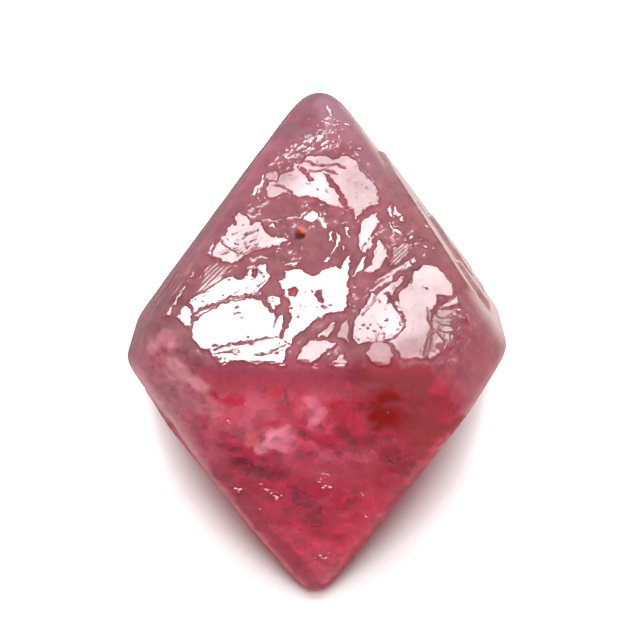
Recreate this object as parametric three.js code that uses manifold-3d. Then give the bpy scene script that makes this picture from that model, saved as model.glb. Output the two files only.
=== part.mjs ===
// A red spinel crystal: one octahedron, about 6 mm from tip to tip, that grew as a single piece and
// lies on one of its eight faces. Its edges are softly rounded, two corners are cut by small facets,
// and every face carries thin growth plates, steps and triangular etch pits.
// Millimetres, +Z up, origin on the floor under the middle of the crystal.
import * as THREE from "three";
import { mergeVertices } from "three/addons/utils/BufferGeometryUtils.js";
import Module from "manifold-3d";

const solidModeller = await Module();
solidModeller.setup();

// ---------------------------------------------------------------- driving dimensions

// The eight octahedron faces: signs of the face's normal along the three crystal axes, and the
// face's distance from the crystal's centre. Uneven distances make the crystal slightly lopsided.
const FACES = {
  top: { signs: [1, 1, 1], distance: 2.27 },
  front: { signs: [1, 1, -1], distance: 2.32 },
  rightUpper: { signs: [-1, 1, 1], distance: 2.34 },
  leftUpper: { signs: [1, -1, 1], distance: 2.4 },
  rightLower: { signs: [-1, 1, -1], distance: 2.17 },
  leftLower: { signs: [1, -1, -1], distance: 2.39 },
  back: { signs: [-1, -1, 1], distance: 2.3 },
  bottom: { signs: [-1, -1, -1], distance: 2.31 },
};

// Small facets on the corners: normal along the crystal axes and distance from the centre.
const CORNER_FACETS = [
  { normal: [0, 1, 0], distance: 3.14 }, // cube face that cuts the right-hand corner
  { normal: [1.23, 0.1, -0.6], distance: 2.92 }, // steep facet that cuts the left-hand corner
  { normal: [0, 0, 1], distance: 3.96 }, // blunts the far tip
  { normal: [0, 0, -1], distance: 3.76 }, // blunts the near tip
];

const EDGE_SHARPNESS = 24; // exponent of the rounding: higher gives sharper edges
const REST_DEPTH = 2.3; // from the centre down to the flat that the crystal lies on
const MIDDLE = { x: -0.083, y: 0.023 }; // from the centre to the middle of the outline, seen from above

const GRID_STEPS = 22; // subdivisions along one edge of the octahedron
const EDGE_CROWDING = 1.6; // how strongly the grid gathers towards the rounded edges
const PLATE_ROOT = 0.14; // how far a growth plate reaches down into the crystal
const CUT_MARGIN = 0.2; // how far a cutting tool stands out of the surface it cuts

// ---------------------------------------------------------------- growth plates on the top face

// Each plate is an outline in the plane of the top face, x to the right and y towards the far tip,
// measured from the point above the crystal's centre, and the height of its flat above the face.
const TOP_PLATES = {
  farPlate: {
    height: 0.05,
    outline: [
      [-0.82, 1.36], [-0.8, 1.45], [-0.64, 1.48], [-0.6, 1.6], [-0.44, 1.62], [-0.4, 1.78],
      [-0.3, 1.74], [-0.24, 1.89], [0.05, 1.92], [0.18, 1.86], [0.36, 1.91], [0.55, 1.78],
      [0.62, 1.66], [0.77, 1.48], [0.83, 1.22], [0.8, 1.08], [0.64, 1.05], [0.52, 0.88],
      [0.46, 0.8], [0.47, 1], [0.34, 1.01], [0.12, 1.08], [-0.02, 1.18], [-0.26, 1.23],
      [-0.42, 1.26], [-0.54, 1.28], [-0.76, 1.2],
    ],
  },
  farLobe: {
    height: 0.03,
    outline: [[-0.82, 1.52], [-0.8, 1.64], [-0.68, 1.68], [-0.62, 1.6], [-0.66, 1.5], [-0.74, 1.46]],
  },
  leftPlate: {
    height: 0.045,
    outline: [
      [-1.6, 0.24], [-1.5, 0.46], [-1.47, 0.55], [-1.4, 0.56], [-1.39, 0.68], [-1.26, 0.8],
      [-1.28, 0.88], [-1.2, 0.98], [-1.06, 0.8], [-1.03, 0.72], [-0.98, 0.8], [-0.88, 0.82],
      [-0.84, 0.68], [-0.74, 0.55], [-0.6, 0.56], [-0.5, 0.48], [-0.64, 0.4], [-0.82, 0.38],
      [-1, 0.33], [-1.12, 0.26], [-1.22, 0.17], [-1.34, 0.12], [-1.5, 0.2],
    ],
  },
  broadPlate: {
    height: 0.05,
    outline: [
      [-1.85, -0.86], [-1.7, -0.7], [-1.56, -0.62], [-1.44, -0.56], [-1.15, -0.49], [-1, -0.45],
      [-0.9, -0.5], [-0.8, -0.6], [-0.66, -0.78], [-0.7, -0.92], [-0.84, -1.11], [-1, -1.16],
      [-1.2, -1.18], [-1.4, -1.2], [-1.6, -1.3], [-1.74, -1.27], [-1.83, -1.16], [-1.88, -1],
    ],
  },
  broadPlateRim: {
    height: 0.035,
    outline: [
      [-0.6, -0.74], [-0.56, -0.8], [-0.57, -0.98], [-0.61, -1.1], [-0.8, -1.1], [-0.68, -0.92],
      [-0.63, -0.8],
    ],
  },
  slopingPlate: {
    height: 0.04,
    outline: [
      [-1.92, -0.5], [-1.74, -0.36], [-1.5, -0.2], [-1.4, -0.14], [-1.3, -0.11], [-1.2, -0.17],
      [-1.11, -0.13], [-1.06, 0.06], [-0.98, 0.1], [-0.82, 0.1], [-0.76, -0.08], [-0.8, -0.2],
      [-0.88, -0.3], [-0.88, -0.41], [-1.02, -0.41], [-1.16, -0.45], [-1.44, -0.52], [-1.62, -0.62],
      [-1.78, -0.76], [-1.87, -0.74], [-1.86, -0.58],
    ],
  },
  leftShelf: {
    height: 0.025,
    outline: [
      [-1.82, -0.36], [-1.74, -0.14], [-1.66, 0.08], [-1.56, 0.11], [-1.32, 0.07], [-1.42, -0.02],
      [-1.52, -0.14], [-1.66, -0.26],
    ],
  },
  centrePlate: {
    height: 0.05,
    outline: [
      [-0.6, -0.2], [-0.52, -0.02], [-0.42, 0.02], [-0.26, -0.02], [-0.14, -0.11], [-0.02, -0.02],
      [0.2, 0.07], [0.26, 0], [0.36, 0.22], [0.4, 0.24], [0.36, -0.05], [0.38, -0.35],
      [0.33, -0.6], [0.26, -0.68], [0.06, -0.7], [-0.14, -0.84], [-0.34, -1.02], [-0.47, -1.22],
      [-0.57, -1.13], [-0.52, -0.96], [-0.45, -0.82], [-0.48, -0.5], [-0.57, -0.42],
    ],
  },
  centreBit: {
    height: 0.03,
    outline: [[-0.8, -0.42], [-0.63, -0.44], [-0.6, -0.54], [-0.7, -0.63], [-0.77, -0.54]],
  },
  nearPlate: {
    height: 0.035,
    outline: [
      [-1.64, -1.32], [-1.5, -1.3], [-1.38, -1.23], [-1, -1.2], [-0.84, -1.14], [-0.6, -1.13],
      [-0.49, -1.25], [-0.56, -1.46], [-0.53, -1.53], [-0.64, -1.55], [-0.82, -1.5], [-0.98, -1.53],
      [-1.2, -1.48], [-1.44, -1.53], [-1.53, -1.42],
    ],
  },
  nearMiddle: {
    height: 0.035,
    outline: [
      [-0.36, -1.46], [-0.3, -1.28], [-0.2, -1.15], [0.02, -1.13], [0.19, -1.19], [0.08, -1.28],
      [0, -1.38], [-0.16, -1.52],
    ],
  },
  nearChip: {
    height: 0.02,
    outline: [[0.07, -1.54], [0.2, -1.46], [0.29, -1.36], [0.35, -1.52], [0.3, -1.6]],
  },
  channelSplinter: {
    height: 0.03,
    outline: [[-0.1, -1.09], [0, -1], [0.18, -0.83], [0.14, -0.97], [0.07, -1.09], [0, -1.05]],
  },
  channelWedge: {
    height: 0.03,
    outline: [[0.21, -1.06], [0.25, -0.92], [0.35, -0.8], [0.37, -0.98], [0.36, -1.18]],
  },
  rightMiddle: {
    height: 0.045,
    outline: [
      [0.44, -1.06], [0.46, -0.8], [0.53, -0.73], [0.56, -0.62], [0.65, -0.57], [0.71, -0.37],
      [0.8, -0.42], [0.9, -0.28], [1.1, -0.16], [1.2, -0.08], [1.04, -0.32], [0.86, -0.65],
      [0.98, -0.52], [1.07, -0.5], [1.14, -0.74], [1.2, -0.85], [1.08, -1.02], [1, -1.12],
      [0.82, -1.17], [0.5, -1.2],
    ],
  },
  rightPlate: {
    height: 0.05,
    outline: [
      [1.12, -0.38], [1.3, -0.14], [1.34, -0.02], [1.5, 0.09], [1.6, 0.06], [1.8, -0.1],
      [1.92, -0.34], [1.88, -0.44], [1.66, -0.42], [1.64, -0.55], [1.56, -0.68], [1.53, -0.84],
      [1.57, -0.95], [1.48, -1.42], [1.16, -1.46], [1.06, -1.29], [0.93, -1.19], [1.06, -1.12],
      [1.22, -0.88], [1.17, -0.74], [1.1, -0.54],
    ],
  },
  rightTongue: {
    height: 0.03,
    outline: [[1.68, -0.62], [1.74, -0.56], [1.88, -0.5], [1.99, -0.43], [1.99, -0.54], [1.84, -0.6]],
  },
  rightShelf: {
    height: 0.035,
    outline: [
      [1.58, -0.86], [1.6, -0.74], [1.7, -0.67], [1.98, -0.65], [2.1, -0.6], [2.08, -0.74],
      [1.99, -0.86], [1.98, -1.02], [1.88, -1.2], [1.72, -1.3], [1.56, -1.44], [1.52, -1.4],
      [1.6, -0.98],
    ],
  },
  nearOval: {
    height: 0.03,
    outline: [
      [0.6, -1.36], [0.7, -1.22], [0.84, -1.19], [0.96, -1.25], [1, -1.38], [0.96, -1.54],
      [0.84, -1.56], [0.68, -1.48],
    ],
  },
  upperBlade: {
    height: 0.045,
    outline: [
      [0.56, 0.34], [0.53, 0.6], [0.55, 0.76], [0.66, 0.9], [0.79, 0.96], [0.82, 0.8],
      [0.7, 0.56], [0.61, 0.42],
    ],
  },
  middleBlade: {
    height: 0.045,
    outline: [
      [0.6, -0.04], [0.7, 0.08], [0.76, 0.36], [0.83, 0.5], [0.92, 0.36], [0.94, 0.2],
      [0.84, 0.02], [0.74, -0.03],
    ],
  },
  smallBlade: {
    height: 0.03,
    outline: [[0.58, 0.3], [0.62, 0.44], [0.76, 0.56], [0.72, 0.4], [0.64, 0.28]],
  },
  thinBlade: {
    height: 0.03,
    outline: [[0.43, -0.12], [0.52, 0.1], [0.57, 0.2], [0.63, 0.22], [0.58, 0], [0.5, -0.04]],
  },
  stripedPlate: {
    height: 0.035,
    outline: [
      [0.98, 0.1], [1.04, 0.36], [1.1, 0.44], [1.2, 0.46], [1.28, 0.4], [1.22, 0.24],
      [1.08, 0.1],
    ],
  },
  upperStrip: {
    height: 0.03,
    outline: [[0.7, -0.2], [0.94, -0.08], [1.14, 0.07], [1.32, 0.2], [1.1, -0.03], [0.9, -0.15]],
  },
  leftSliver: {
    height: 0.03,
    outline: [[-1.68, 0.27], [-1.63, 0.42], [-1.56, 0.54], [-1.58, 0.4], [-1.61, 0.26]],
  },
  rimSliver: {
    height: 0.025,
    outline: [[-1.98, -0.1], [-1.91, 0.03], [-1.88, 0.13], [-1.85, 0], [-1.87, -0.1]],
  },
  rimChain: {
    height: 0.025,
    outline: [
      [-2.14, -0.6], [-2.15, -0.4], [-2.02, -0.27], [-1.98, -0.14], [-1.95, -0.2], [-2.02, -0.42],
      [-2.1, -0.5],
    ],
  },
  cornerBit: {
    height: 0.02,
    outline: [[-2.26, -0.58], [-2.15, -0.6], [-2.18, -0.76], [-2.23, -0.7]],
  },
  leftEndBit: {
    height: 0.03,
    outline: [[-2.1, -0.73], [-1.97, -0.57], [-1.91, -0.62], [-1.9, -0.9], [-1.98, -0.86]],
  },
  farRimBand: {
    height: 0.02,
    outline: [
      [-0.06, 2.32], [0.16, 2.14], [0.42, 1.93], [0.62, 1.74], [0.8, 1.52], [0.84, 1.58],
      [0.54, 2], [0.28, 2.4], [0.1, 2.5],
    ],
  },
};

// Small growth flecks of one height, scattered round the etch pit.
const TOP_FLECKS = {
  height: 0.025,
  outlines: [
    [[-0.26, 0.86], [-0.21, 0.97], [-0.12, 1], [-0.05, 0.9], [-0.14, 0.82]],
    [[0.1, 0.64], [0.16, 0.66], [0.15, 0.48], [0.11, 0.5]],
    [[0.2, 0.63], [0.27, 0.55], [0.24, 0.42], [0.12, 0.27], [0.2, 0.48]],
    [[0.31, 0.76], [0.37, 0.7], [0.38, 0.55], [0.33, 0.6]],
    [[0.27, 0.32], [0.3, 0.43], [0.33, 0.34]],
    [[0.02, 0.14], [0.05, 0.23], [0.13, 0.24], [0.08, 0.15]],
    [[-0.54, 0.07], [-0.45, 0.14], [-0.3, 0.13], [-0.42, 0.08]],
    [[-0.78, 0.73], [-0.72, 0.79], [-0.66, 0.72]],
    [[1.27, 0.56], [1.32, 0.58], [1.35, 0.52], [1.29, 0.5]],
    [[0.96, 1.02], [0.99, 1.08], [1.06, 0.88], [1, 0.92]],
  ],
};

// Grooves and hollows cut into the top plates: the etched seam lines and the holes between them.
const TOP_HOLLOWS = {
  farCrack: {
    depth: 0.03,
    outline: [[0.03, 1.6], [0.08, 1.58], [0.3, 1.22], [0.38, 1.02], [0.33, 1.02], [0.24, 1.24]],
  },
  farStep: {
    depth: 0.02,
    outline: [[-0.34, 1.72], [-0.28, 1.7], [-0.12, 1.5], [-0.17, 1.52]],
  },
  centreHole: {
    depth: 0.04,
    outline: [[-0.5, -0.33], [-0.44, -0.28], [-0.36, -0.3], [-0.33, -0.37], [-0.4, -0.43], [-0.48, -0.41]],
  },
  centreSlit: {
    depth: 0.04,
    outline: [[-0.08, -0.34], [-0.04, -0.34], [0.01, -0.54], [-0.03, -0.54], [-0.09, -0.43]],
  },
  slopingHole: {
    depth: 0.04,
    outline: [[-1.01, -0.1], [-0.96, -0.1], [-0.94, 0.02], [-0.98, 0.04]],
  },
};

// The deep round etch pit near the middle of the top face.
const ETCH_PIT = { at: [-0.34, 0.58], radius: 0.09, depth: 0.12, sides: 8 };

// ---------------------------------------------------------------- ledge, terraces, trigons

// The growth ledge on the upper right face. Its outline lies in that face's own plane, y towards
// the far tip and the shared edge with the top face on the left. It is thickest at its far end and
// runs out to nothing towards the right-hand corner.
const LEDGE = {
  height: 0.02, // at the middle of the face
  lean: 1.3, // degrees, raising its far end
  outline: [
    [-0.24, 2.44], [0.1, 2.32], [0.5, 1.7], [1.1, 0.9], [1.6, 0], [1.9, -0.7], [0.6, -0.9],
    [-0.6, -0.8], [-1.4, -0.95], [-1.9, -0.3], [-1.6, 0.26], [-0.9, 1.48],
  ],
};

// Terraces on the side and back faces: three-sided growth plates with cut corners.
// [x, y, size, height] in the face's own frame, which faceFrame gives.
const TERRACES = {
  leftUpper: [[0.1, -0.1, 1.9, 0.025], [-0.25, -0.3, 1.15, 0.055], [0.5, 0.45, 0.5, 0.05]],
  rightLower: [[-0.1, 0, 1.8, 0.025], [0.3, -0.35, 1, 0.05], [-0.75, 0.1, 0.45, 0.045]],
  leftLower: [[0, 0.05, 1.75, 0.025], [0.2, 0.35, 0.95, 0.05], [-0.7, -0.5, 0.5, 0.045]],
  back: [[0, -0.05, 2, 0.03], [-0.2, 0.2, 1.3, 0.06], [0.15, 0.1, 0.6, 0.085]],
  rightUpper: [[0.35, -0.2, 0.8, 0.085], [-0.7, -0.55, 0.45, 0.07]],
};
const TERRACE_CORNER_CUT = 0.22; // half the angle that a cut corner spans from the middle, radians
const TERRACE_WOBBLE = 0.07; // unevenness of the terrace's corners, as a share of its size

// Trigons: triangular etch pits that point the other way from the face they lie in.
// [x, y, size, depth] in the face's own frame.
const TRIGONS = {
  leftUpper: [[0.9, -0.5, 0.2, 0.06], [-1, -0.75, 0.16, 0.05], [0.1, 1.5, 0.14, 0.05]],
  rightUpper: [[0.9, -0.7, 0.2, 0.06], [-0.2, 0.8, 0.16, 0.06]],
  rightLower: [[0.8, 0.45, 0.18, 0.05], [-0.3, -0.9, 0.16, 0.06], [-1.3, -0.8, 0.12, 0.05]],
  leftLower: [[-0.1, 1.4, 0.18, 0.06], [1, -0.7, 0.2, 0.06], [-0.3, -0.9, 0.14, 0.05]],
  back: [[0.9, -0.9, 0.18, 0.06], [-1, -0.8, 0.16, 0.06], [0, 1.5, 0.16, 0.06]],
  front: [[0.7, 0.86, 0.13, 0.04], [0.05, 2.1, 0.1, 0.03], [-0.96, 0.3, 0.12, 0.03]],
  bottom: [[0.5, 0.3, 0.22, 0.05], [-0.7, -0.4, 0.18, 0.05], [0, 1.4, 0.16, 0.05]],
};

// ---------------------------------------------------------------- crystal axes and face planes

// The row frame's axes along the crystal axes: the three-fold axis [1 1 1] stands upright.
const RIGHT = new THREE.Vector3(-1, 1, 0).normalize();
const AWAY = new THREE.Vector3(-1, -1, 2).normalize();
const UP = new THREE.Vector3(1, 1, 1).normalize();

function fromCrystalAxes(components) {
  const v = new THREE.Vector3(...components);
  return new THREE.Vector3(v.dot(RIGHT), v.dot(AWAY), v.dot(UP));
}

for (const face of Object.values(FACES)) {
  face.normal = fromCrystalAxes(face.signs).normalize();
}

const planes = [
  ...Object.values(FACES),
  ...CORNER_FACETS.map(({ normal, distance }) => ({ normal: fromCrystalAxes(normal).normalize(), distance })),
];

// A face's own frame: z outward, y towards the tip that the face shares with the upright z crystal
// axis, origin where the perpendicular from the centre meets the face.
function faceFrame(face) {
  const z = face.normal;
  const tip = fromCrystalAxes([0, 0, face.signs[2]]);
  const y = tip.clone().addScaledVector(z, -tip.dot(z)).normalize();
  const x = y.clone().cross(z);
  return new THREE.Matrix4().makeBasis(x, y, z).setPosition(z.clone().multiplyScalar(face.distance));
}

// ---------------------------------------------------------------- solids

function toSolid(geometry) {
  geometry.deleteAttribute("normal");
  geometry.deleteAttribute("uv");
  const merged = mergeVertices(geometry, 1e-5);
  return new solidModeller.Manifold(
    new solidModeller.Mesh({
      numProp: 3,
      vertProperties: Float32Array.from(merged.attributes.position.array),
      triVerts: Uint32Array.from(merged.index.array),
    }),
  );
}

// Distance from the centre to the rounded surface in a direction: the planes' reaches are blended
// with a high power mean, so that faces stay flat and edges and corners are softly rounded.
function surfaceDistance(direction) {
  let sum = 0;
  for (const { normal, distance } of planes) {
    sum += Math.max(0, direction.dot(normal) / distance) ** EDGE_SHARPNESS;
  }
  return sum ** (-1 / EDGE_SHARPNESS);
}

// The rounded octahedron: each of its eight sides is a triangular grid, crowded towards the edges.
function crystalBody() {
  const positions = [];
  const indices = [];
  for (const { signs } of Object.values(FACES)) {
    const inverted = signs[0] * signs[1] * signs[2] < 0;
    const start = positions.length / 3;
    const at = (i, j) => start + i * (GRID_STEPS + 1) - (i * (i - 1)) / 2 + j;
    for (let i = 0; i <= GRID_STEPS; i += 1) {
      for (let j = 0; j <= GRID_STEPS - i; j += 1) {
        const shares = [i, j, GRID_STEPS - i - j].map((n) => (n / GRID_STEPS) ** EDGE_CROWDING);
        const direction = fromCrystalAxes(shares.map((share, axis) => share * signs[axis])).normalize();
        positions.push(...direction.multiplyScalar(surfaceDistance(direction)).toArray());
      }
    }
    for (let i = 0; i < GRID_STEPS; i += 1) {
      for (let j = 0; j < GRID_STEPS - i; j += 1) {
        const corners = [[at(i, j), at(i + 1, j), at(i, j + 1)]];
        if (j < GRID_STEPS - i - 1) corners.push([at(i + 1, j), at(i + 1, j + 1), at(i, j + 1)]);
        for (const [a, b, c] of corners) indices.push(...(inverted ? [a, c, b] : [a, b, c]));
      }
    }
  }
  const geometry = new THREE.BufferGeometry();
  geometry.setAttribute("position", new THREE.Float32BufferAttribute(positions, 3));
  geometry.setIndex(indices);
  return toSolid(geometry);
}

// A straight prism over an outline, between two heights, in a face's own frame.
function prism(outline, low, high, frame) {
  const shape = new THREE.Shape(outline.map(([x, y]) => new THREE.Vector2(x, y)));
  const geometry = new THREE.ExtrudeGeometry(shape, { depth: high - low, bevelEnabled: false });
  geometry.translate(0, 0, low);
  geometry.applyMatrix4(frame);
  return toSolid(geometry);
}

// A pointed pit with flat sides: a cone whose point lies at the given depth under the face.
function pit(x, y, radius, depth, sides, turn, frame) {
  const reach = depth + CUT_MARGIN;
  const cone = new THREE.ConeGeometry((radius * reach) / depth, reach, sides);
  cone.rotateX(-Math.PI / 2);
  cone.rotateZ(turn);
  cone.translate(x, y, CUT_MARGIN - reach / 2);
  cone.applyMatrix4(frame);
  return toSolid(cone);
}

// A three-sided terrace with cut corners, its sides parallel to the edges of its face.
function terraceOutline(x, y, size) {
  const points = [];
  for (let corner = 0; corner < 3; corner += 1) {
    const wobble = 1 + TERRACE_WOBBLE * Math.sin(5 * (corner + x + y));
    for (const side of [-1, 1]) {
      const angle = Math.PI / 2 + (corner * 2 * Math.PI) / 3 + side * TERRACE_CORNER_CUT;
      points.push([x + size * wobble * Math.cos(angle), y + size * wobble * Math.sin(angle)]);
    }
  }
  return points;
}

function ledge() {
  const tilted = faceFrame(FACES.rightUpper).multiply(
    new THREE.Matrix4().makeRotationX(THREE.MathUtils.degToRad(LEDGE.lean)),
  );
  return prism(LEDGE.outline, -PLATE_ROOT, LEDGE.height, tilted);
}

// Everything below the flat that the crystal lies on.
function floorBlock() {
  const size = 12;
  const block = new THREE.BoxGeometry(size, size, size);
  block.translate(0, 0, -REST_DEPTH - size / 2);
  return toSolid(block);
}

function buildCrystal() {
  const top = faceFrame(FACES.top);
  const additions = [ledge()];
  for (const { outline, height } of Object.values(TOP_PLATES)) {
    additions.push(prism(outline, -PLATE_ROOT, height, top));
  }
  for (const outline of TOP_FLECKS.outlines) {
    additions.push(prism(outline, -PLATE_ROOT, TOP_FLECKS.height, top));
  }
  for (const [name, terraces] of Object.entries(TERRACES)) {
    const frame = faceFrame(FACES[name]);
    for (const [x, y, size, height] of terraces) {
      additions.push(prism(terraceOutline(x, y, size), -PLATE_ROOT, height, frame));
    }
  }
  const cuts = [floorBlock()];
  for (const { outline, depth } of Object.values(TOP_HOLLOWS)) {
    cuts.push(prism(outline, -depth, CUT_MARGIN, top));
  }
  cuts.push(pit(...ETCH_PIT.at, ETCH_PIT.radius, ETCH_PIT.depth, ETCH_PIT.sides, 0, top));
  for (const [name, trigons] of Object.entries(TRIGONS)) {
    const frame = faceFrame(FACES[name]);
    for (const [x, y, size, depth] of trigons) cuts.push(pit(x, y, size, depth, 3, Math.PI, frame));
  }
  const grown = additions.reduce((solid, addition) => solid.add(addition), crystalBody());
  return cuts.reduce((solid, cut) => solid.subtract(cut), grown);
}

function toGeometry(solid) {
  const { vertProperties, triVerts } = solid.getMesh();
  const geometry = new THREE.BufferGeometry();
  geometry.setAttribute("position", new THREE.Float32BufferAttribute(vertProperties, 3));
  geometry.setIndex(new THREE.Uint32BufferAttribute(triVerts, 1));
  geometry.computeVertexNormals();
  return geometry;
}

// ---------------------------------------------------------------- scene graph

const spinel = new THREE.MeshStandardMaterial({ color: 0xb24a5a, roughness: 0.15, metalness: 0 });
const crystal = new THREE.Mesh(toGeometry(buildCrystal()), spinel);
crystal.name = "spinel_crystal";
crystal.position.set(-MIDDLE.x, -MIDDLE.y, REST_DEPTH);

const group = new THREE.Group();
group.add(crystal);
export default group;
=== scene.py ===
import math

import bpy
import numpy as np
from bpy.props import FloatProperty, FloatVectorProperty, IntProperty, PointerProperty
from mathutils import Matrix, Vector


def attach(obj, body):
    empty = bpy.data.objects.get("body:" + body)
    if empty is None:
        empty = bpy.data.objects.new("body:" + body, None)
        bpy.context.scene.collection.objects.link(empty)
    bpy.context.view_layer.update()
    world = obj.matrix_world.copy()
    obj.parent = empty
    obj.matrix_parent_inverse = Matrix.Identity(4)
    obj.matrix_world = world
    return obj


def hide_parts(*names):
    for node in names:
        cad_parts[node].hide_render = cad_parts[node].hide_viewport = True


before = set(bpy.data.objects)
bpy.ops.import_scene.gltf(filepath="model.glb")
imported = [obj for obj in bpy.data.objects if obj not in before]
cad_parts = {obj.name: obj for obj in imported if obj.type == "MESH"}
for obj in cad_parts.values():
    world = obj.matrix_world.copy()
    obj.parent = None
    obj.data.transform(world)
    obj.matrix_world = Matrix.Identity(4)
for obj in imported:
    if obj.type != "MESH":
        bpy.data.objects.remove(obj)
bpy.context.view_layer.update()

bl_info = {
    "name": "Spinel octahedron",
    "version": (1, 0, 0),
    "blender": (4, 5, 0),
    "location": "3D View > Sidebar > Spinel",
    "description": "A red spinel crystal with growth plates, etched seams and inclusions, on a pale floor",
    "category": "Add Mesh",
}

MM = 0.001
BODY = "root"
NODE = "spinel_crystal"

# ------------------------------------------------------------------ the crystal's own numbers, in mm

# The three-fold axis of the crystal stands upright: rows are right, away and up.
AXES = np.array([[-1, 1, 0], [-1, -1, 2], [1, 1, 1]], float)
AXES /= np.linalg.norm(AXES, axis=1)[:, None]

# Signs of each face's normal along the crystal axes, and its distance from the centre.
FACES = {
    "top": ((1, 1, 1), 2.27),
    "front": ((1, 1, -1), 2.32),
    "right_upper": ((-1, 1, 1), 2.34),
    "left_upper": ((1, -1, 1), 2.4),
    "right_lower": ((-1, 1, -1), 2.17),
    "left_lower": ((1, -1, -1), 2.39),
    "back": ((-1, -1, 1), 2.3),
    "bottom": ((-1, -1, -1), 2.31),
}

# Small facets on the corners: normal along the crystal axes, and distance from the centre.
CORNER_FACETS = {
    "right_cube": ((0, 1, 0), 3.14),
    "left_steep": ((1.23, 0.1, -0.6), 2.92),
    "far_tip": ((0, 0, 1), 3.96),
    "near_tip": ((0, 0, -1), 3.76),
}

EDGE_SHARPNESS = 24  # exponent of the rounding: higher gives sharper edges
REST_DEPTH = 2.3  # from the centre down to the flat that the crystal lies on
MIDDLE = np.array([-0.083, 0.023])  # from the centre to the middle of the outline, seen from above

COARSE_STEPS = 92  # subdivisions along an edge of the octahedron on the side faces
FINE_FACTOR = 4  # the top face has this many times more
EDGE_CROWDING = 1.15  # how strongly the grid gathers towards the edges


def to_row(vectors):
    """Turns vectors given along the crystal axes into the row frame: one matrix product."""
    return np.asarray(vectors, float) @ AXES.T


def unit(vectors):
    """Each vector divided by its own length."""
    return vectors / np.linalg.norm(vectors, axis=-1, keepdims=True)


def trace(values):
    """Points in millimetres from an outline or line of the tables: its pairs, divided by a hundred."""
    return np.reshape(values, (-1, 2)) / 100


PLANES = {name: (unit(to_row(signs)), reach)
          for name, (signs, reach) in {**FACES, **CORNER_FACETS}.items()}

# ------------------------------------------------------------------ growth plates on the top face

# Outlines and lines are written x, y, x, y, ... in hundredths of a millimetre, to be read by trace().

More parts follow.
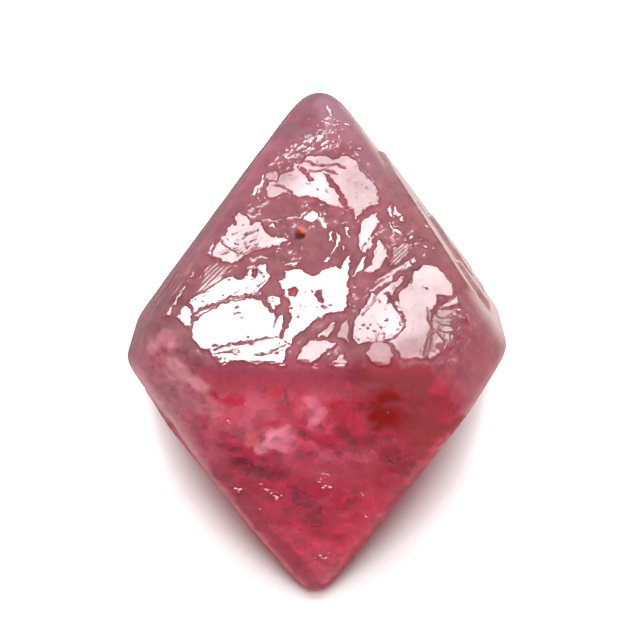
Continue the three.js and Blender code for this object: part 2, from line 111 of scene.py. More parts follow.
# name: (height above the face, how mirror-bright it is, how finely lined, outline). The outline lies in
# the plane of the top face, x to the right and y towards the far tip, from the point above the centre.
TOP_PLATES = {
    "far_plate": (0.024, 0.42, 0.4, [-82, 136, -80, 145, -64, 148, -60, 160, -44, 162, -40, 178, -30, 174,
        -24, 189, 5, 192, 18, 186, 36, 191, 55, 178, 62, 166, 77, 148, 83, 122, 80, 108, 64, 105, 52, 88,
        46, 80, 47, 100, 34, 101, 12, 108, -2, 118, -26, 123, -42, 126, -54, 128, -76, 120]),
    "far_lobe": (0.016, 0.3, 0, [-82, 152, -80, 164, -68, 168, -62, 160, -66, 150, -74, 146]),
    "left_plate": (0.022, 0.58, 0.7, [-160, 24, -150, 46, -147, 55, -140, 56, -139, 68, -126, 80, -128, 88,
        -120, 98, -106, 80, -103, 72, -98, 80, -88, 82, -84, 68, -74, 55, -60, 56, -50, 48, -64, 40, -82,
        38, -100, 33, -112, 26, -122, 17, -134, 12, -150, 20]),
    "broad_plate": (0.024, 1, 0.03, [-185, -86, -170, -70, -156, -62, -144, -56, -115, -49, -100, -45, -90,
        -50, -80, -60, -66, -78, -70, -92, -84, -111, -100, -116, -120, -118, -140, -120, -160, -130, -174,
        -127, -183, -116, -188, -100]),
    "broad_plate_rim": (0.018, 0.9, 0.3, [-60, -74, -56, -80, -57, -98, -61, -110, -80, -110, -68, -92, -63,
        -80]),
    "sloping_plate": (0.02, 1, 0.9, [-192, -50, -174, -36, -150, -20, -140, -14, -130, -11, -120, -17, -111,
        -13, -106, 6, -98, 10, -82, 10, -76, -8, -80, -20, -88, -30, -88, -41, -102, -41, -116, -45, -144,
        -52, -162, -62, -178, -76, -187, -74, -186, -58]),
    "left_shelf": (0.014, 0.4, 1, [-182, -36, -174, -14, -166, 8, -156, 11, -132, 7, -142, -2, -152, -14,
        -166, -26]),
    "centre_plate": (0.024, 1, 0.35, [-60, -20, -52, -2, -42, 2, -26, -2, -14, -11, -2, -2, 20, 7, 26, 0,
        36, 22, 40, 24, 36, -5, 38, -35, 33, -60, 26, -68, 6, -70, -14, -84, -34, -102, -47, -122, -57,
        -113, -52, -96, -45, -82, -48, -50, -57, -42]),
    "centre_bit": (0.016, 0.9, 0.8, [-80, -42, -63, -44, -60, -54, -70, -63, -77, -54]),
    "near_plate": (0.018, 1, 0.75, [-164, -132, -150, -130, -138, -123, -100, -120, -84, -114, -60, -113,
        -49, -125, -56, -146, -53, -153, -64, -155, -82, -150, -98, -153, -120, -148, -144, -153, -153,
        -142]),
    "near_middle": (0.018, 0.5, 0.15, [-36, -146, -30, -128, -20, -115, 2, -113, 19, -119, 8, -128, 0, -138,
        -16, -152]),
    "near_chip": (0.012, 0.36, 0.5, [7, -154, 20, -146, 29, -136, 35, -152, 30, -160]),
    "channel_splinter": (0.016, 0.5, 0.6, [-10, -109, 0, -100, 18, -83, 14, -97, 7, -109, 0, -105]),
    "channel_wedge": (0.016, 0.3, 0.3, [21, -106, 25, -92, 35, -80, 37, -98, 36, -118]),
    "right_middle": (0.022, 0.55, 0.8, [44, -106, 46, -80, 53, -73, 56, -62, 65, -57, 71, -37, 80, -42, 90,
        -28, 110, -16, 120, -8, 104, -32, 86, -65, 98, -52, 107, -50, 114, -74, 120, -85, 108, -102, 100,
        -112, 82, -117, 50, -120]),
    "right_plate": (0.024, 0.46, 0.2, [112, -38, 130, -14, 134, -2, 150, 9, 160, 6, 180, -10, 192, -34, 188,
        -44, 166, -42, 164, -55, 156, -68, 153, -84, 157, -95, 148, -142, 116, -146, 106, -129, 93, -119,
        106, -112, 122, -88, 117, -74, 110, -54]),
    "right_tongue": (0.016, 0.5, 0.5, [168, -62, 174, -56, 188, -50, 199, -43, 199, -54, 184, -60]),
    "right_shelf": (0.018, 0.32, 0.7, [158, -86, 160, -74, 170, -67, 198, -65, 210, -60, 208, -74, 199, -86,
        198, -102, 188, -120, 172, -130, 156, -144, 152, -140, 160, -98]),
    "near_oval": (0.016, 0.24, 0, [60, -136, 70, -122, 84, -119, 96, -125, 100, -138, 96, -154, 84, -156,
        68, -148]),
    "upper_blade": (0.022, 0.6, 0.4, [56, 34, 53, 60, 55, 76, 66, 90, 79, 96, 82, 80, 70, 56, 61, 42]),
    "middle_blade": (0.022, 0.55, 0.7, [60, -4, 70, 8, 76, 36, 83, 50, 92, 36, 94, 20, 84, 2, 74, -3]),
    "small_blade": (0.016, 0.5, 0.6, [58, 30, 62, 44, 76, 56, 72, 40, 64, 28]),
    "thin_blade": (0.016, 0.7, 0.4, [43, -12, 52, 10, 57, 20, 63, 22, 58, 0, 50, -4]),
    "striped_plate": (0.018, 0.55, 1, [98, 10, 104, 36, 110, 44, 120, 46, 128, 40, 122, 24, 108, 10]),
    "upper_strip": (0.016, 0.5, 0.9, [70, -20, 94, -8, 114, 7, 132, 20, 110, -3, 90, -15]),
    "left_sliver": (0.016, 0.7, 0.3, [-168, 27, -163, 42, -156, 54, -158, 40, -161, 26]),
    "rim_sliver": (0.014, 0.8, 0.2, [-198, -10, -191, 3, -188, 13, -185, 0, -187, -10]),
    "rim_chain": (0.014, 0.7, 0.6, [-214, -60, -215, -40, -202, -27, -198, -14, -195, -20, -202, -42, -210,
        -50]),
    "corner_bit": (0.012, 0.6, 0.5, [-226, -58, -215, -60, -218, -76, -223, -70]),
    "left_end_bit": (0.016, 0.9, 0.7, [-210, -73, -197, -57, -191, -62, -190, -90, -198, -86]),
}

# Outlines of small bright flecks, between the plates
TOP_FLECKS = [
    [-26, 86, -21, 97, -12, 100, -5, 90, -14, 82],
    [10, 64, 16, 66, 15, 48, 11, 50],
    [20, 63, 27, 55, 24, 42, 12, 27, 20, 48],
    [31, 76, 37, 70, 38, 55, 33, 60],
    [27, 32, 30, 43, 33, 34],
    [2, 14, 5, 23, 13, 24, 8, 15],
    [-54, 7, -45, 14, -30, 13, -42, 8],
    [-78, 73, -72, 79, -66, 72],
    [127, 56, 132, 58, 135, 52, 129, 50],
    [96, 102, 99, 108, 106, 88, 100, 92],
]

# name: (depth, outline) of the hollows between and in the plates
TOP_HOLLOWS = {
    "far_crack": (0.03, [3, 160, 8, 158, 30, 122, 38, 102, 33, 102, 24, 124]),
    "far_step": (0.02, [-34, 172, -28, 170, -12, 150, -17, 152]),
    "centre_hole": (0.04, [-50, -33, -44, -28, -36, -30, -33, -37, -40, -43, -48, -41]),
    "centre_slit": (0.04, [-8, -34, -4, -34, 1, -54, -3, -54, -9, -43]),
    "sloping_hole": (0.04, [-101, -10, -96, -10, -94, 2, -98, 4]),
}

# The pit's dark fill and the orange spot on its far rim are set in PATCHES: painted shade and a painted
# highlight.
ETCH_PIT = (-0.34, 0.58, 0.09, 0.12)  # x, y, radius, depth

# ------------------------------------------------------------------ the side faces

FRONT_SWELL = 0.008  # height of the soft waves on the front face

# The thin ledge beside the upper right edge: its height, its lean in degrees, and its outline in the
# frame of that face
LEDGE_HEIGHT = 0.02
LEDGE_LEAN = 1.3
LEDGE = [-24, 184, 6, 180, 50, 150, 110, 90, 160, 0, 190, -70, 60, -90, -60, -80, -140, -95, -190, -30,
    -160, 26, -90, 148]

# [x, y, size, height] of three-sided growth plates in each face's own frame
TERRACES = {
    "left_upper": [(0.1, -0.1, 1.9, 0.01), (-0.25, -0.3, 1.15, 0.022), (0.5, 0.45, 0.5, 0.02)],
    "right_lower": [(-0.1, 0, 1.8, 0.025), (0.3, -0.35, 1, 0.05), (-0.75, 0.1, 0.45, 0.045)],
    "left_lower": [(0, 0.05, 1.75, 0.025), (0.2, 0.35, 0.95, 0.05), (-0.7, -0.5, 0.5, 0.045)],
    "back": [(0, -0.05, 2, 0.03), (-0.2, 0.2, 1.3, 0.06), (0.15, 0.1, 0.6, 0.085)],
    "right_upper": [(0.35, -0.2, 0.8, 0.085), (-0.7, -0.55, 0.45, 0.07)],
}
TERRACE_CORNER_CUT = 0.22  # half the angle that a cut corner spans, in radians
TERRACE_WOBBLE = 0.07  # unevenness of the corners, as a share of the size

# [x, y, size, depth] of triangular etch pits in each face's own frame
TRIGONS = {
    "left_upper": [(0.9, -0.5, 0.2, 0.06), (-1, -0.75, 0.16, 0.05), (0.1, 1.5, 0.14, 0.05)],
    "right_upper": [(0.9, -0.7, 0.2, 0.06), (-0.2, 0.8, 0.16, 0.06)],
    "right_lower": [(0.8, 0.45, 0.18, 0.05), (-0.3, -0.9, 0.16, 0.06), (-1.3, -0.8, 0.12, 0.05)],
    "left_lower": [(-0.1, 1.4, 0.18, 0.06), (1, -0.7, 0.2, 0.06), (-0.3, -0.9, 0.14, 0.05)],
    "back": [(0.9, -0.9, 0.18, 0.06), (-1, -0.8, 0.16, 0.06), (0, 1.5, 0.16, 0.06)],
    "front": [(0.7, 0.86, 0.13, 0.04), (0.05, 2.1, 0.1, 0.03), (-0.96, 0.3, 0.12, 0.03)],
    "bottom": [(0.5, 0.3, 0.22, 0.05), (-0.7, -0.4, 0.18, 0.05), (0, 1.4, 0.16, 0.05)],
}


# ------------------------------------------------------------------ colour

# name of the face: roughness, milkiness (the share of light scattered at the surface), mottling, tint.
# They are those of the etched skin; the depth colour comes from absorption.
SKINS = {
    "top": (0.42, 0.14, 0.5, (0.49, 0.27, 0.32)),
    "front": (0.2, 0.36, 1, (0.43, 0.012, 0.064)),
    "left_steep": (0.28, 0.34, 1, (0.28, 0.085, 0.14)),
    "right_cube": (0.4, 0.24, 0.4, (0.52, 0.17, 0.24)),
    "left_upper": (0.9, 0.2, 0.5, (0.28, 0.12, 0.16)),
    "right_upper": (0.5, 0.14, 0.5, (0.62, 0.42, 0.41)),
    "right_lower": (0.7, 0.32, 0.6, (0.36, 0.04, 0.07)),
    "left_lower": (0.7, 0.32, 0.6, (0.33, 0.035, 0.065)),
    "back": (0.55, 0.12, 0.6, (0.7, 0.26, 0.33)),
    "bottom": (0.6, 0.1, 0.5, (0.7, 0.18, 0.27)),
}
SKIN_REACH = 0.1  # in mm: how far below a face's plane its skin still counts

# How ragged a patch's outline is, in shares of its radius: at most, and for each mm of its radius, and
# the wavelength of the teeth
RAGGED_MOST = 0.6
RAGGED_RISE = 3
RAGGED_LENGTH = 0.24

# How much of the mottling a patch takes away: at most, and for each mm of its radius
SMOOTH_MOST = 0.75
SMOOTH_RISE = 1.8

# Patches of the skin: face, ends (x, y) of a line in the face's own frame, radius round it, strength,
# change of milkiness and roughness, tint. On the front face x runs to the left and y down the slope.
PATCHES = [
    ("top", (0.1, 2.9), (-0.3, 2.3), 0.5, 0.9, 0.06, (0.27, 0.2, 0.24)),
    ("top", (0.2, 2.7), (0.9, 1.4), 0.3, 0.7, 0.04, (0.48, 0.36, 0.42)),
    ("top", (-0.3, 2.05), (0.3, 1.95), 0.2, 0.6, 0, (0.42, 0.22, 0.27)),
    ("top", (-0.25, 2.5), (-0.15, 2.54), 0.12, 0.7, 0, (0.28, 0.12, 0.17)),
    ("top", (-1.9, 0.2), (-0.7, 2.0), 0.3, 0.6, 0, (0.5, 0.28, 0.36)),
    ("top", (1.7, 0.0), (2.3, -0.9), 0.3, 0.5, 0, (0.6, 0.3, 0.34)),
    ("top", (-0.5, -1.9), (1.2, -1.8), 0.25, 0.6, 0, (0.5, 0.13, 0.18)),
    # The next two patches paint the etch pit: a near-black fill over and round it, painted shade in the
    # hollow, and a small orange spot on its far rim, a painted highlight.
    ("top", (-0.34, 0.58), (-0.32, 0.6), 0.14, 1, 0.4, (0.07, 0.026, 0.02)),
    ("top", (-0.31, 0.71), (-0.27, 0.67), 0.06, 0.8, 0.2, (0.55, 0.16, 0.1)),
    ("front", (1.3, -1.4), (-0.4, -1.4), 0.4, 0.8, 0.1, (0.32, 0.068, 0.11)),
    ("front", (0.5, -0.9), (0.9, -0.7), 0.5, 0.5, 0.05, (0.45, 0.08, 0.14)),
    ("front", (-1.1, -1.2), (-1.5, -0.4), 0.6, 0.95, 0.34, (0.23, 0.015, 0.024)),
    ("front", (-0.6, -1.45), (-1.4, -1.4), 0.32, 0.9, 0.1, (0.2, 0.032, 0.042)),
    ("front", (-0.94, -0.98), (-0.94, -0.68), 0.3, 0.9, 0.2, (0.24, 0.007, 0.007)),
    ("front", (-0.84, -0.96), (-0.88, -0.66), 0.2, 1, 0.2, (0.19, 0.003, 0.002)),
    ("front", (-1.1, -1.0), (-0.9, -1.04), 0.15, 0.9, 0.2, (0.18, 0.004, 0.003)),
    ("front", (0.6, -0.34), (0.84, -0.12), 0.24, 0.5, 0.1, (0.66, 0.14, 0.23)),
    ("front", (0.58, -0.44), (0.64, -0.24), 0.1, 0.8, 0.14, (0.78, 0.26, 0.37)),
    ("front", (0.72, -0.42), (0.78, -0.32), 0.07, 0.8, 0.14, (0.84, 0.3, 0.4)),
    ("front", (0.76, -0.22), (0.92, -0.04), 0.09, 0.8, 0.14, (0.8, 0.27, 0.37)),
    ("front", (0.56, -0.08), (0.74, -0.14), 0.08, 0.7, 0.14, (0.76, 0.24, 0.35)),
    ("front", (0.48, -0.3), (0.52, -0.14), 0.07, 0.7, 0.14, (0.72, 0.2, 0.3)),
    ("front", (1.0, -0.34), (1.06, -0.2), 0.12, 0.6, 0.1, (0.74, 0.16, 0.16)),
    ("front", (0.66, -0.12), (0.5, -0.2), 0.2, 0.6, 0.06, (0.6, 0.12, 0.2)),
    ("front", (0.98, -1.0), (1.1, -0.6), 0.12, 0.5, 0.06, (0.58, 0.13, 0.2)),
    ("front", (0.16, -0.95), (0.06, -0.55), 0.22, 0.5, 0.08, (0.62, 0.12, 0.21)),
    ("front", (0.2, -1.05), (0.06, -0.8), 0.09, 0.7, 0.12, (0.7, 0.18, 0.28)),
    ("front", (0.0, -0.8), (0.1, -0.62), 0.08, 0.7, 0.14, (0.74, 0.2, 0.3)),
    ("front", (0.14, -0.7), (0.2, -0.5), 0.07, 0.7, 0.14, (0.72, 0.2, 0.3)),
    ("front", (0.2, -0.1), (-0.1, 0.0), 0.2, 0.7, 0.1, (0.6, 0.1, 0.19)),
    ("front", (-0.3, 0.1), (-0.62, 0.12), 0.18, 0.6, 0.1, (0.56, 0.09, 0.17)),
    ("front", (0.3, 0.25), (-0.5, 0.4), 0.35, 0.6, 0.04, (0.56, 0.07, 0.14)),
    ("front", (1.2, 0.25), (0.7, 0.45), 0.22, 0.8, 0.1, (0.27, 0.006, 0.034)),
    ("front", (0.3, 0.8), (0.0, 1.5), 0.25, 0.6, 0, (0.34, 0.01, 0.05)),
    ("front", (-0.5, 0.6), (-0.9, 0.2), 0.3, 0.5, 0, (0.4, 0.02, 0.06)),
    ("front", (0.0, 2.2), (0.1, 2.9), 0.45, 0.7, 0.05, (0.64, 0.085, 0.17)),
    ("front", (0.8, 1.2), (0.5, 1.9), 0.35, 0.5, 0.02, (0.58, 0.045, 0.12)),
    ("front", (-0.7, 1.1), (-0.4, 1.9), 0.3, 0.5, 0.02, (0.54, 0.035, 0.1)),
    ("front", (1.4, -0.6), (0.9, -0.9), 0.3, 0.5, 0.08, (0.5, 0.12, 0.19)),
    ("front", (1.62, -1.1), (1.62, 0.1), 0.1, 0.3, 0.06, (0.42, 0.16, 0.22)),
    ("front", (1.66, 0.1), (0.1, 2.85), 0.16, 0.9, 0.3, (0.24, 0.014, 0.04)),
    ("front", (-1.66, 0.1), (-0.1, 2.85), 0.16, 0.9, 0.3, (0.3, 0.016, 0.045)),
    ("top", (-2.2, -1.12), (-2.26, -1.04), 0.12, 0.8, 0.05, (0.74, 0.32, 0.4)),
    ("left_steep", (0.0, -1.3), (-0.2, -0.7), 0.28, 0.5, 0.08, (0.44, 0.22, 0.28)),
    ("left_steep", (0.02, -1.45), (-0.26, -1.1), 0.15, 0.6, 0.08, (0.6, 0.36, 0.42)),
    ("left_steep", (0.62, -1.1), (0.45, -0.8), 0.12, 0.8, 0, (0.24, 0.03, 0.09)),
    ("left_steep", (0.8, -1.45), (0.7, -1.3), 0.12, 0.7, 0, (0.24, 0.05, 0.12)),
    ("left_steep", (0.4, -1.7), (0.3, -1.75), 0.12, 0.7, 0.1, (0.6, 0.34, 0.42)),
    ("left_steep", (0.24, -0.4), (0.1, 0.1), 0.3, 0.7, 0, (0.4, 0.06, 0.12)),
    ("right_lower", (0, 0), (0.6, 0.4), 0.7, 0.5, 0.04, (0.5, 0.1, 0.16)),
    ("left_lower", (0.3, 0.6), (-0.5, 0.2), 0.6, 0.5, 0.04, (0.5, 0.1, 0.16)),
    ("back", (-0.6, 0.2), (0.4, -0.6), 0.6, 0.5, 0.05, (0.6, 0.34, 0.4)),
    ("back", (0.6, 0.9), (0.8, 0.2), 0.3, 0.6, -0.04, (0.44, 0.08, 0.1)),
]

# ------------------------------------------------------------------ what lies under the front face

# Places are (x, y) in the front face's frame. A depth d is reached DEPTH_SHIFT * d further down the
# slope, so that the pieces lie one under the other for an eye that looks down at the face.
DEPTH_SHIFT = 0.42

# Clouds of thin flakes: x, y, half width, half height, depth, number of flakes, mean radius
PALE_VEILS = [
    (0.76, -0.3, 0.13, 0.1, 0.12, 40, 0.06),
    (0.62, -0.22, 0.12, 0.14, 0.16, 36, 0.05),
    (0.86, -0.14, 0.12, 0.07, 0.2, 26, 0.045),
    (0.5, -0.38, 0.1, 0.06, 0.1, 16, 0.04),
    (0.9, -0.42, 0.1, 0.05, 0.2, 12, 0.035),
    (0.12, -0.96, 0.05, 0.1, 0.14, 18, 0.045),
    (0.1, -0.7, 0.07, 0.12, 0.2, 22, 0.045),
    (0.02, -0.5, 0.06, 0.06, 0.2, 10, 0.04),
    (-0.1, -0.05, 0.3, 0.06, 0.2, 26, 0.045),
    (-0.3, 0.14, 0.3, 0.1, 0.3, 24, 0.045),
    (1.1, -0.75, 0.3, 0.14, 0.25, 30, 0.035),
    (1.25, -0.4, 0.2, 0.1, 0.2, 20, 0.03),
    (0.95, 0.8, 0.4, 0.16, 0.16, 34, 0.03),
    (0.4, 1.5, 0.3, 0.3, 0.2, 34, 0.03),
    (-0.5, 0.9, 0.4, 0.3, 0.3, 30, 0.03),
    (0.02, 2.1, 0.14, 0.08, 0.06, 30, 0.03),
    (-0.02, 0.66, 0.12, 0.05, 0.08, 20, 0.034),
]
BROWN_DUST = [(-0.95, -0.8, 0.2, 0.3, 0.12, 40, 0.07), (-1.1, -0.6, 0.3, 0.3, 0.2, 16, 0.06)]
CRIMSON_VEILS = [
    (1.2, 0.18, 0.14, 0.08, 0.06, 30, 0.045), (1.0, 0.34, 0.2, 0.1, 0.06, 50, 0.05),
    (0.75, 0.42, 0.16, 0.08, 0.05, 30, 0.045), (0.62, 0.5, 0.08, 0.1, 0.05, 14, 0.035),
    (0.5, 0.75, 0.16, 0.1, 0.1, 22, 0.04), (0.3, 0.95, 0.18, 0.16, 0.1, 30, 0.05),
    (0.12, 1.25, 0.14, 0.14, 0.12, 24, 0.045), (-0.3, 1.1, 0.2, 0.16, 0.14, 16, 0.035),
    (0.6, -1.0, 0.14, 0.06, 0.1, 14, 0.035), (0.3, -0.4, 0.06, 0.1, 0.08, 12, 0.035),
    (1.25, -0.1, 0.12, 0.1, 0.1, 12, 0.035), (-1.0, 0.12, 0.1, 0.08, 0.05, 12, 0.03),
]
ORANGE_SPOTS = [(1.0, -0.2, 0.1, 0.06, 0.12, 16, 0.024), (0.95, -0.05, 0.06, 0.04, 0.1, 6, 0.016)]

# Small chips on the front face, each broken up: x, y, radius. They lie level and mirror the back softbox,
# and their bright pink colour is also a painted glint.
CHIPS = [
    (0.86, 0.72, 0.047), (0.8, 0.78, 0.034), (0.7, 0.86, 0.041), (0.62, 0.85, 0.047), (0.56, 0.9, 0.03),
    (1.27, 0.75, 0.041), (1.24, 0.8, 0.027), (0.95, 1.1, 0.03), (1.06, 1.02, 0.019), (0.9, 0.64, 0.024),
    (0.05, 2.1, 0.027), (-0.02, 2.14, 0.041), (0.14, 2.13, 0.022), (0.22, 2.12, 0.019),
    (-0.06, 2.04, 0.022), (-0.95, -0.8, 0.024), (-0.55, 0.8, 0.024), (-0.58, 0.86, 0.016),
    (-0.62, 1.3, 0.019), (1.35, -0.6, 0.027), (1.1, -0.95, 0.022), (0.0, 0.42, 0.041),
    (-0.08, 0.44, 0.027), (0.04, 0.56, 0.03), (-0.1, 0.68, 0.041), (-0.02, 0.66, 0.032),
    (0.4, 0.94, 0.022), (0.3, 0.9, 0.019), (0.75, -0.28, 0.03),
]

# Dark cracks and pale threads under the front face: half width, depth, points
FISSURES = [
    (0.03, 0.12, [55, -130, 52, -110, 50, -90]),
    (0.035, 0.08, [28, -50, 30, -42, 28, -30]),
    (0.018, 0.05, [-90, 6, -98, 16, -106, 30]),
    (0.02, 0.06, [42, 76, 38, 82, 36, 90]),
    (0.014, 0.05, [110, 95, 116, 106, 122, 110]),
    (0.016, 0.05, [-2, 140, 10, 150, 22, 148]),
    (0.014, 0.05, [70, 110, 55, 114, 42, 124, 40, 136]),
    (0.016, 0.06, [-46, 116, -50, 126]),
]
PALE_LINES = [
    (0.022, 0.02, [12, 15, -2, 17, -18, 16]),
    (0.016, 0.02, [8, 20, -2, 23, -14, 21]),
    (0.02, 0.02, [15, 55, 2, 58, -6, 62, -7, 72]),
    (0.018, 0.02, [-78, -2, -86, 4, -96, 10]),
    (0.018, 0.03, [62, -70, 80, -80, 96, -78]),
    (0.016, 0.04, [-42, -50, -44, -90, -42, -120]),
    (0.016, 0.03, [20, 114, 36, 110, 60, 120]),
    (0.018, 0.02, [112, -62, 116, -50, 110, -36]),
    (0.016, 0.02, [98, -50, 90, -44, 80, -50]),
    (0.014, 0.02, [30, 50, 14, 42, -8, 46]),
]

# Small specks strewn under the front face: their number, their least and greatest radius and depth, and
# the corners of the triangle that they fill
SPECK_COUNT = 150
SPECK_RADII = (0.006, 0.016)
SPECK_DEPTHS = (0.01, 0.1)
SPECK_REACH = ((1.5, -1.2), (-1.5, -1.2), (0, 2.7))

# The dark brown grain: x, y and depth of its middle, and the [x, y, z, radius] of its lumps from there
BROWN_PLACE = (-0.95, -0.82, 0.26)
BROWN_UNEVEN = 0.12  # how far its surface strays, as a share of its radius
BROWN_LUMPS = [
    (0.02, -0.1, 0, 0.2), (-0.08, -0.12, 0.03, 0.16), (0.06, 0.1, -0.02, 0.13), (0.1, 0.2, 0, 0.08),
    (-0.12, 0.04, 0.02, 0.1), (0.14, -0.22, 0.02, 0.1),
]

# Dark grains along the lower left edge, in the front face's frame: x, y, radius
EDGE_GRAINS = [
    (1.42, 0.5, 0.016), (1.34, 0.72, 0.022), (1.3, 0.86, 0.016), (1.22, 0.95, 0.026), (1.13, 1.18, 0.018),
    (1.1, 1.32, 0.024), (1.02, 1.5, 0.016), (0.98, 1.62, 0.02), (0.9, 1.86, 0.024), (0.84, 1.98, 0.014),
    (0.3, 0.95, 0.016), (0.42, 0.82, 0.022), (0.5, 1.4, 0.014), (0.68, 1.62, 0.012), (-0.38, 1.24, 0.014),
]


# ------------------------------------------------------------------ the add-on's own settings


class CrystalSizes(bpy.types.PropertyGroup):
    """Shape of the crystal's surface."""

    outline_wander: FloatProperty(
        name="Outline wander", description="How far the plates' outlines stray from straight sides",
        default=0.02 * MM, min=0, max=0.05 * MM, unit="LENGTH", precision=6)
    plate_slope: FloatProperty(
        name="Plate wall width", description="Width of the sloping wall round each growth plate",
        default=0.03 * MM, min=0.01 * MM, max=0.1 * MM, unit="LENGTH", precision=6)
    seam_swell: FloatProperty(
        name="Seam swell", description="Height of the soft waves in the etched seams between the plates",
        default=0.006 * MM, min=0, max=0.03 * MM, unit="LENGTH", precision=6)
    seed: IntProperty(name="Seed", description="Starting number of the random pattern", default=7, min=0)


class CrystalLook(bpy.types.PropertyGroup):
    """Colours and gloss of the crystal."""

    body_red: FloatVectorProperty(
        name="Depth colour", description="Colour that light keeps when it crosses the crystal",
        default=(0.9, 0.03, 0.3), size=3, min=0, max=1, subtype="COLOR")
    depth: FloatProperty(
        name="Colour strength", description="How quickly the crystal darkens with thickness, per metre",
        default=1100, min=0, max=5000)
    mottle: FloatProperty(
        name="Mottling", description="How much the tint varies from place to place",
        default=0.5, min=0, max=0.9, subtype="FACTOR")
    coat_roughness: FloatProperty(
        name="Plate roughness", description="Roughness of the mirror-bright growth plates",
        default=0.05, min=0, max=1, subtype="FACTOR")


class StageSettings(bpy.types.PropertyGroup):
    """Floor, light and camera."""

    floor_radius: FloatProperty(
        name="Floor radius", description="Radius of the pale floor", default=0.4, min=0.01, unit="LENGTH")
    sky: FloatProperty(name="Sky", description="Brightness of the room overhead", default=0.25, min=0)
    horizon: FloatProperty(
        name="Horizon", description="Brightness of the room at floor level", default=0.25, min=0)
    elevation: FloatProperty(
        name="Camera elevation", description="Angle of the camera above the floor",
        default=math.radians(61.8), subtype="ANGLE")
    azimuth: FloatProperty(
        name="Camera azimuth", description="Turn of the camera round the upright axis",
        default=math.radians(0.2), subtype="ANGLE")
    roll: FloatProperty(
        name="Camera roll", description="Turn of the camera round its line of sight",
        default=math.radians(-0.4), subtype="ANGLE")
    distance: FloatProperty(
        name="Camera distance", description="From the lens to the crystal's centre",
        default=80 * MM, min=0.01, unit="LENGTH")


# ------------------------------------------------------------------ patterns worked out as whole arrays


# Large odd numbers that scramble a lattice place and the seed into a random number of 16 bits
HASH_FACTORS = [73856093, 19349663, 83492791]
HASH_SEED = 2654435761
HASH_ROUNDS = [(13, 1274126177), (16, 668265263)]
HASH_LAST_SHIFT = 15
LONG_WORD = 0xFFFFFFFF
SHORT_WORD = 0xFFFF


def value_noise(points, wavelength, seed):
    """Smooth random field between -1 and 1: random numbers on a cubic lattice, from an integer hash of
    the cell and the seed, blended between the eight corners with the curve 3t^2 - 2t^3."""
    p = np.atleast_2d(points) / wavelength
    cell = np.floor(p).astype(np.int64)
    t = p - cell
    t = t * t * (3 - 2 * t)
    total = np.zeros(len(p))
    dims = p.shape[1]
    for corner in range(2**dims):
        offset = np.array([(corner >> axis) & 1 for axis in range(dims)])
        key = ((cell + offset) * np.array(HASH_FACTORS[:dims])).sum(1) + seed * HASH_SEED
        for shift, factor in HASH_ROUNDS:
            key = (key ^ (key >> shift)) * factor & LONG_WORD
        key ^= key >> HASH_LAST_SHIFT
        weight = np.prod(np.where(offset, t, 1 - t), axis=1)
        total += weight * (2 * (key & SHORT_WORD) / SHORT_WORD - 1)
    return total


OCTAVE_SEED = 31  # seeds of the octaves lie this far apart


def fractal(points, wavelength, seed, octaves=3, fall=0.5):
    """Sum of value_noise at halving wavelengths, each octave weaker by the same factor."""
    total = np.zeros(len(points))
    weight = 1.0
    for octave in range(octaves):
        total += weight * value_noise(points, wavelength / 2**octave, seed + OCTAVE_SEED * octave)
        weight *= fall
    return total


def ease(value, low, high):
    """Nought below low, one above high, and the curve 3t^2 - 2t^3 between them."""
    t = np.clip((value - low) / (high - low), 0, 1)
    return t * t * (3 - 2 * t)


def distance_to_line(points, line, closed=False):
    """Least distance from each point to the straight pieces of a line, each piece's foot point clamped
    to its ends, or to the only place that the line has. With closed, it is signed, positive inside, by
    counting the sides crossed."""
    line = np.asarray(line, float)
    if len(line) == 1:
        return np.hypot(*(points - line[0]).T)
    starts = line if closed else line[:-1]
    ends = np.roll(line, -1, axis=0) if closed else line[1:]
    least = np.full(len(points), np.inf)
    crossings = np.zeros(len(points), int)
    x, y = points[:, 0], points[:, 1]
    for (ax, ay), (bx, by) in zip(starts, ends):
        dx, dy = bx - ax, by - ay
        share = np.clip(((x - ax) * dx + (y - ay) * dy) / (dx * dx + dy * dy), 0, 1)
        least = np.minimum(least, np.hypot(x - ax - share * dx, y - ay - share * dy))
        if closed and ay != by:
            spans = (ay > y) != (by > y)
            crossings += spans & (x < (y - ay) * dx / dy + ax)
    if closed:
        return np.where(crossings % 2 == 1, least, -least)
    return least


# ------------------------------------------------------------------ the crystal's surface


def blended_distance(directions):
    """Distance from the centre to the rounded surface: one over the high power mean of the planes'
    reaches, so that faces stay flat and edges and corners are softly rounded."""
    total = np.zeros(len(directions))
    for normal, reach in PLANES.values():
        total += np.maximum(0, directions @ normal / reach) ** EDGE_SHARPNESS
    return total ** (-1 / EDGE_SHARPNESS)


def face_frame(name):
    """Rows x, y, z of a face's own frame: z outward, y towards the tip on the third crystal axis, the one
    at the far end of it where the face lies along that axis."""
    z, _ = PLANES[name]
    tip = to_row((0, 0, math.copysign(1, {**FACES, **CORNER_FACETS}[name][0][2])))
    y = unit(tip - (tip @ z) * z)
    return np.array([np.cross(y, z), y, z])


def lattice_triangles(signs, step, total):
    """Small triangles of one octahedron side as whole-number corners whose sizes add up to total: for
    each lattice place (i, j) one triangle that points up and one that points down."""
    count = total // step
    i, j = np.meshgrid(np.arange(count), np.arange(count), indexing="ij")
    ups = np.stack([i, j], -1)[i + j < count]
    downs = np.stack([i, j], -1)[i + j < count - 1]
    corners = np.concatenate([
        np.stack([ups, ups + (1, 0), ups + (0, 1)], 1),
        np.stack([downs + (1, 0), downs + (1, 1), downs + (0, 1)], 1),
    ])
    third = count - corners.sum(2, keepdims=True)
    whole = np.concatenate([corners, third], 2) * step * np.array(signs)
    return whole if np.prod(signs) > 0 else whole[:, ::-1]


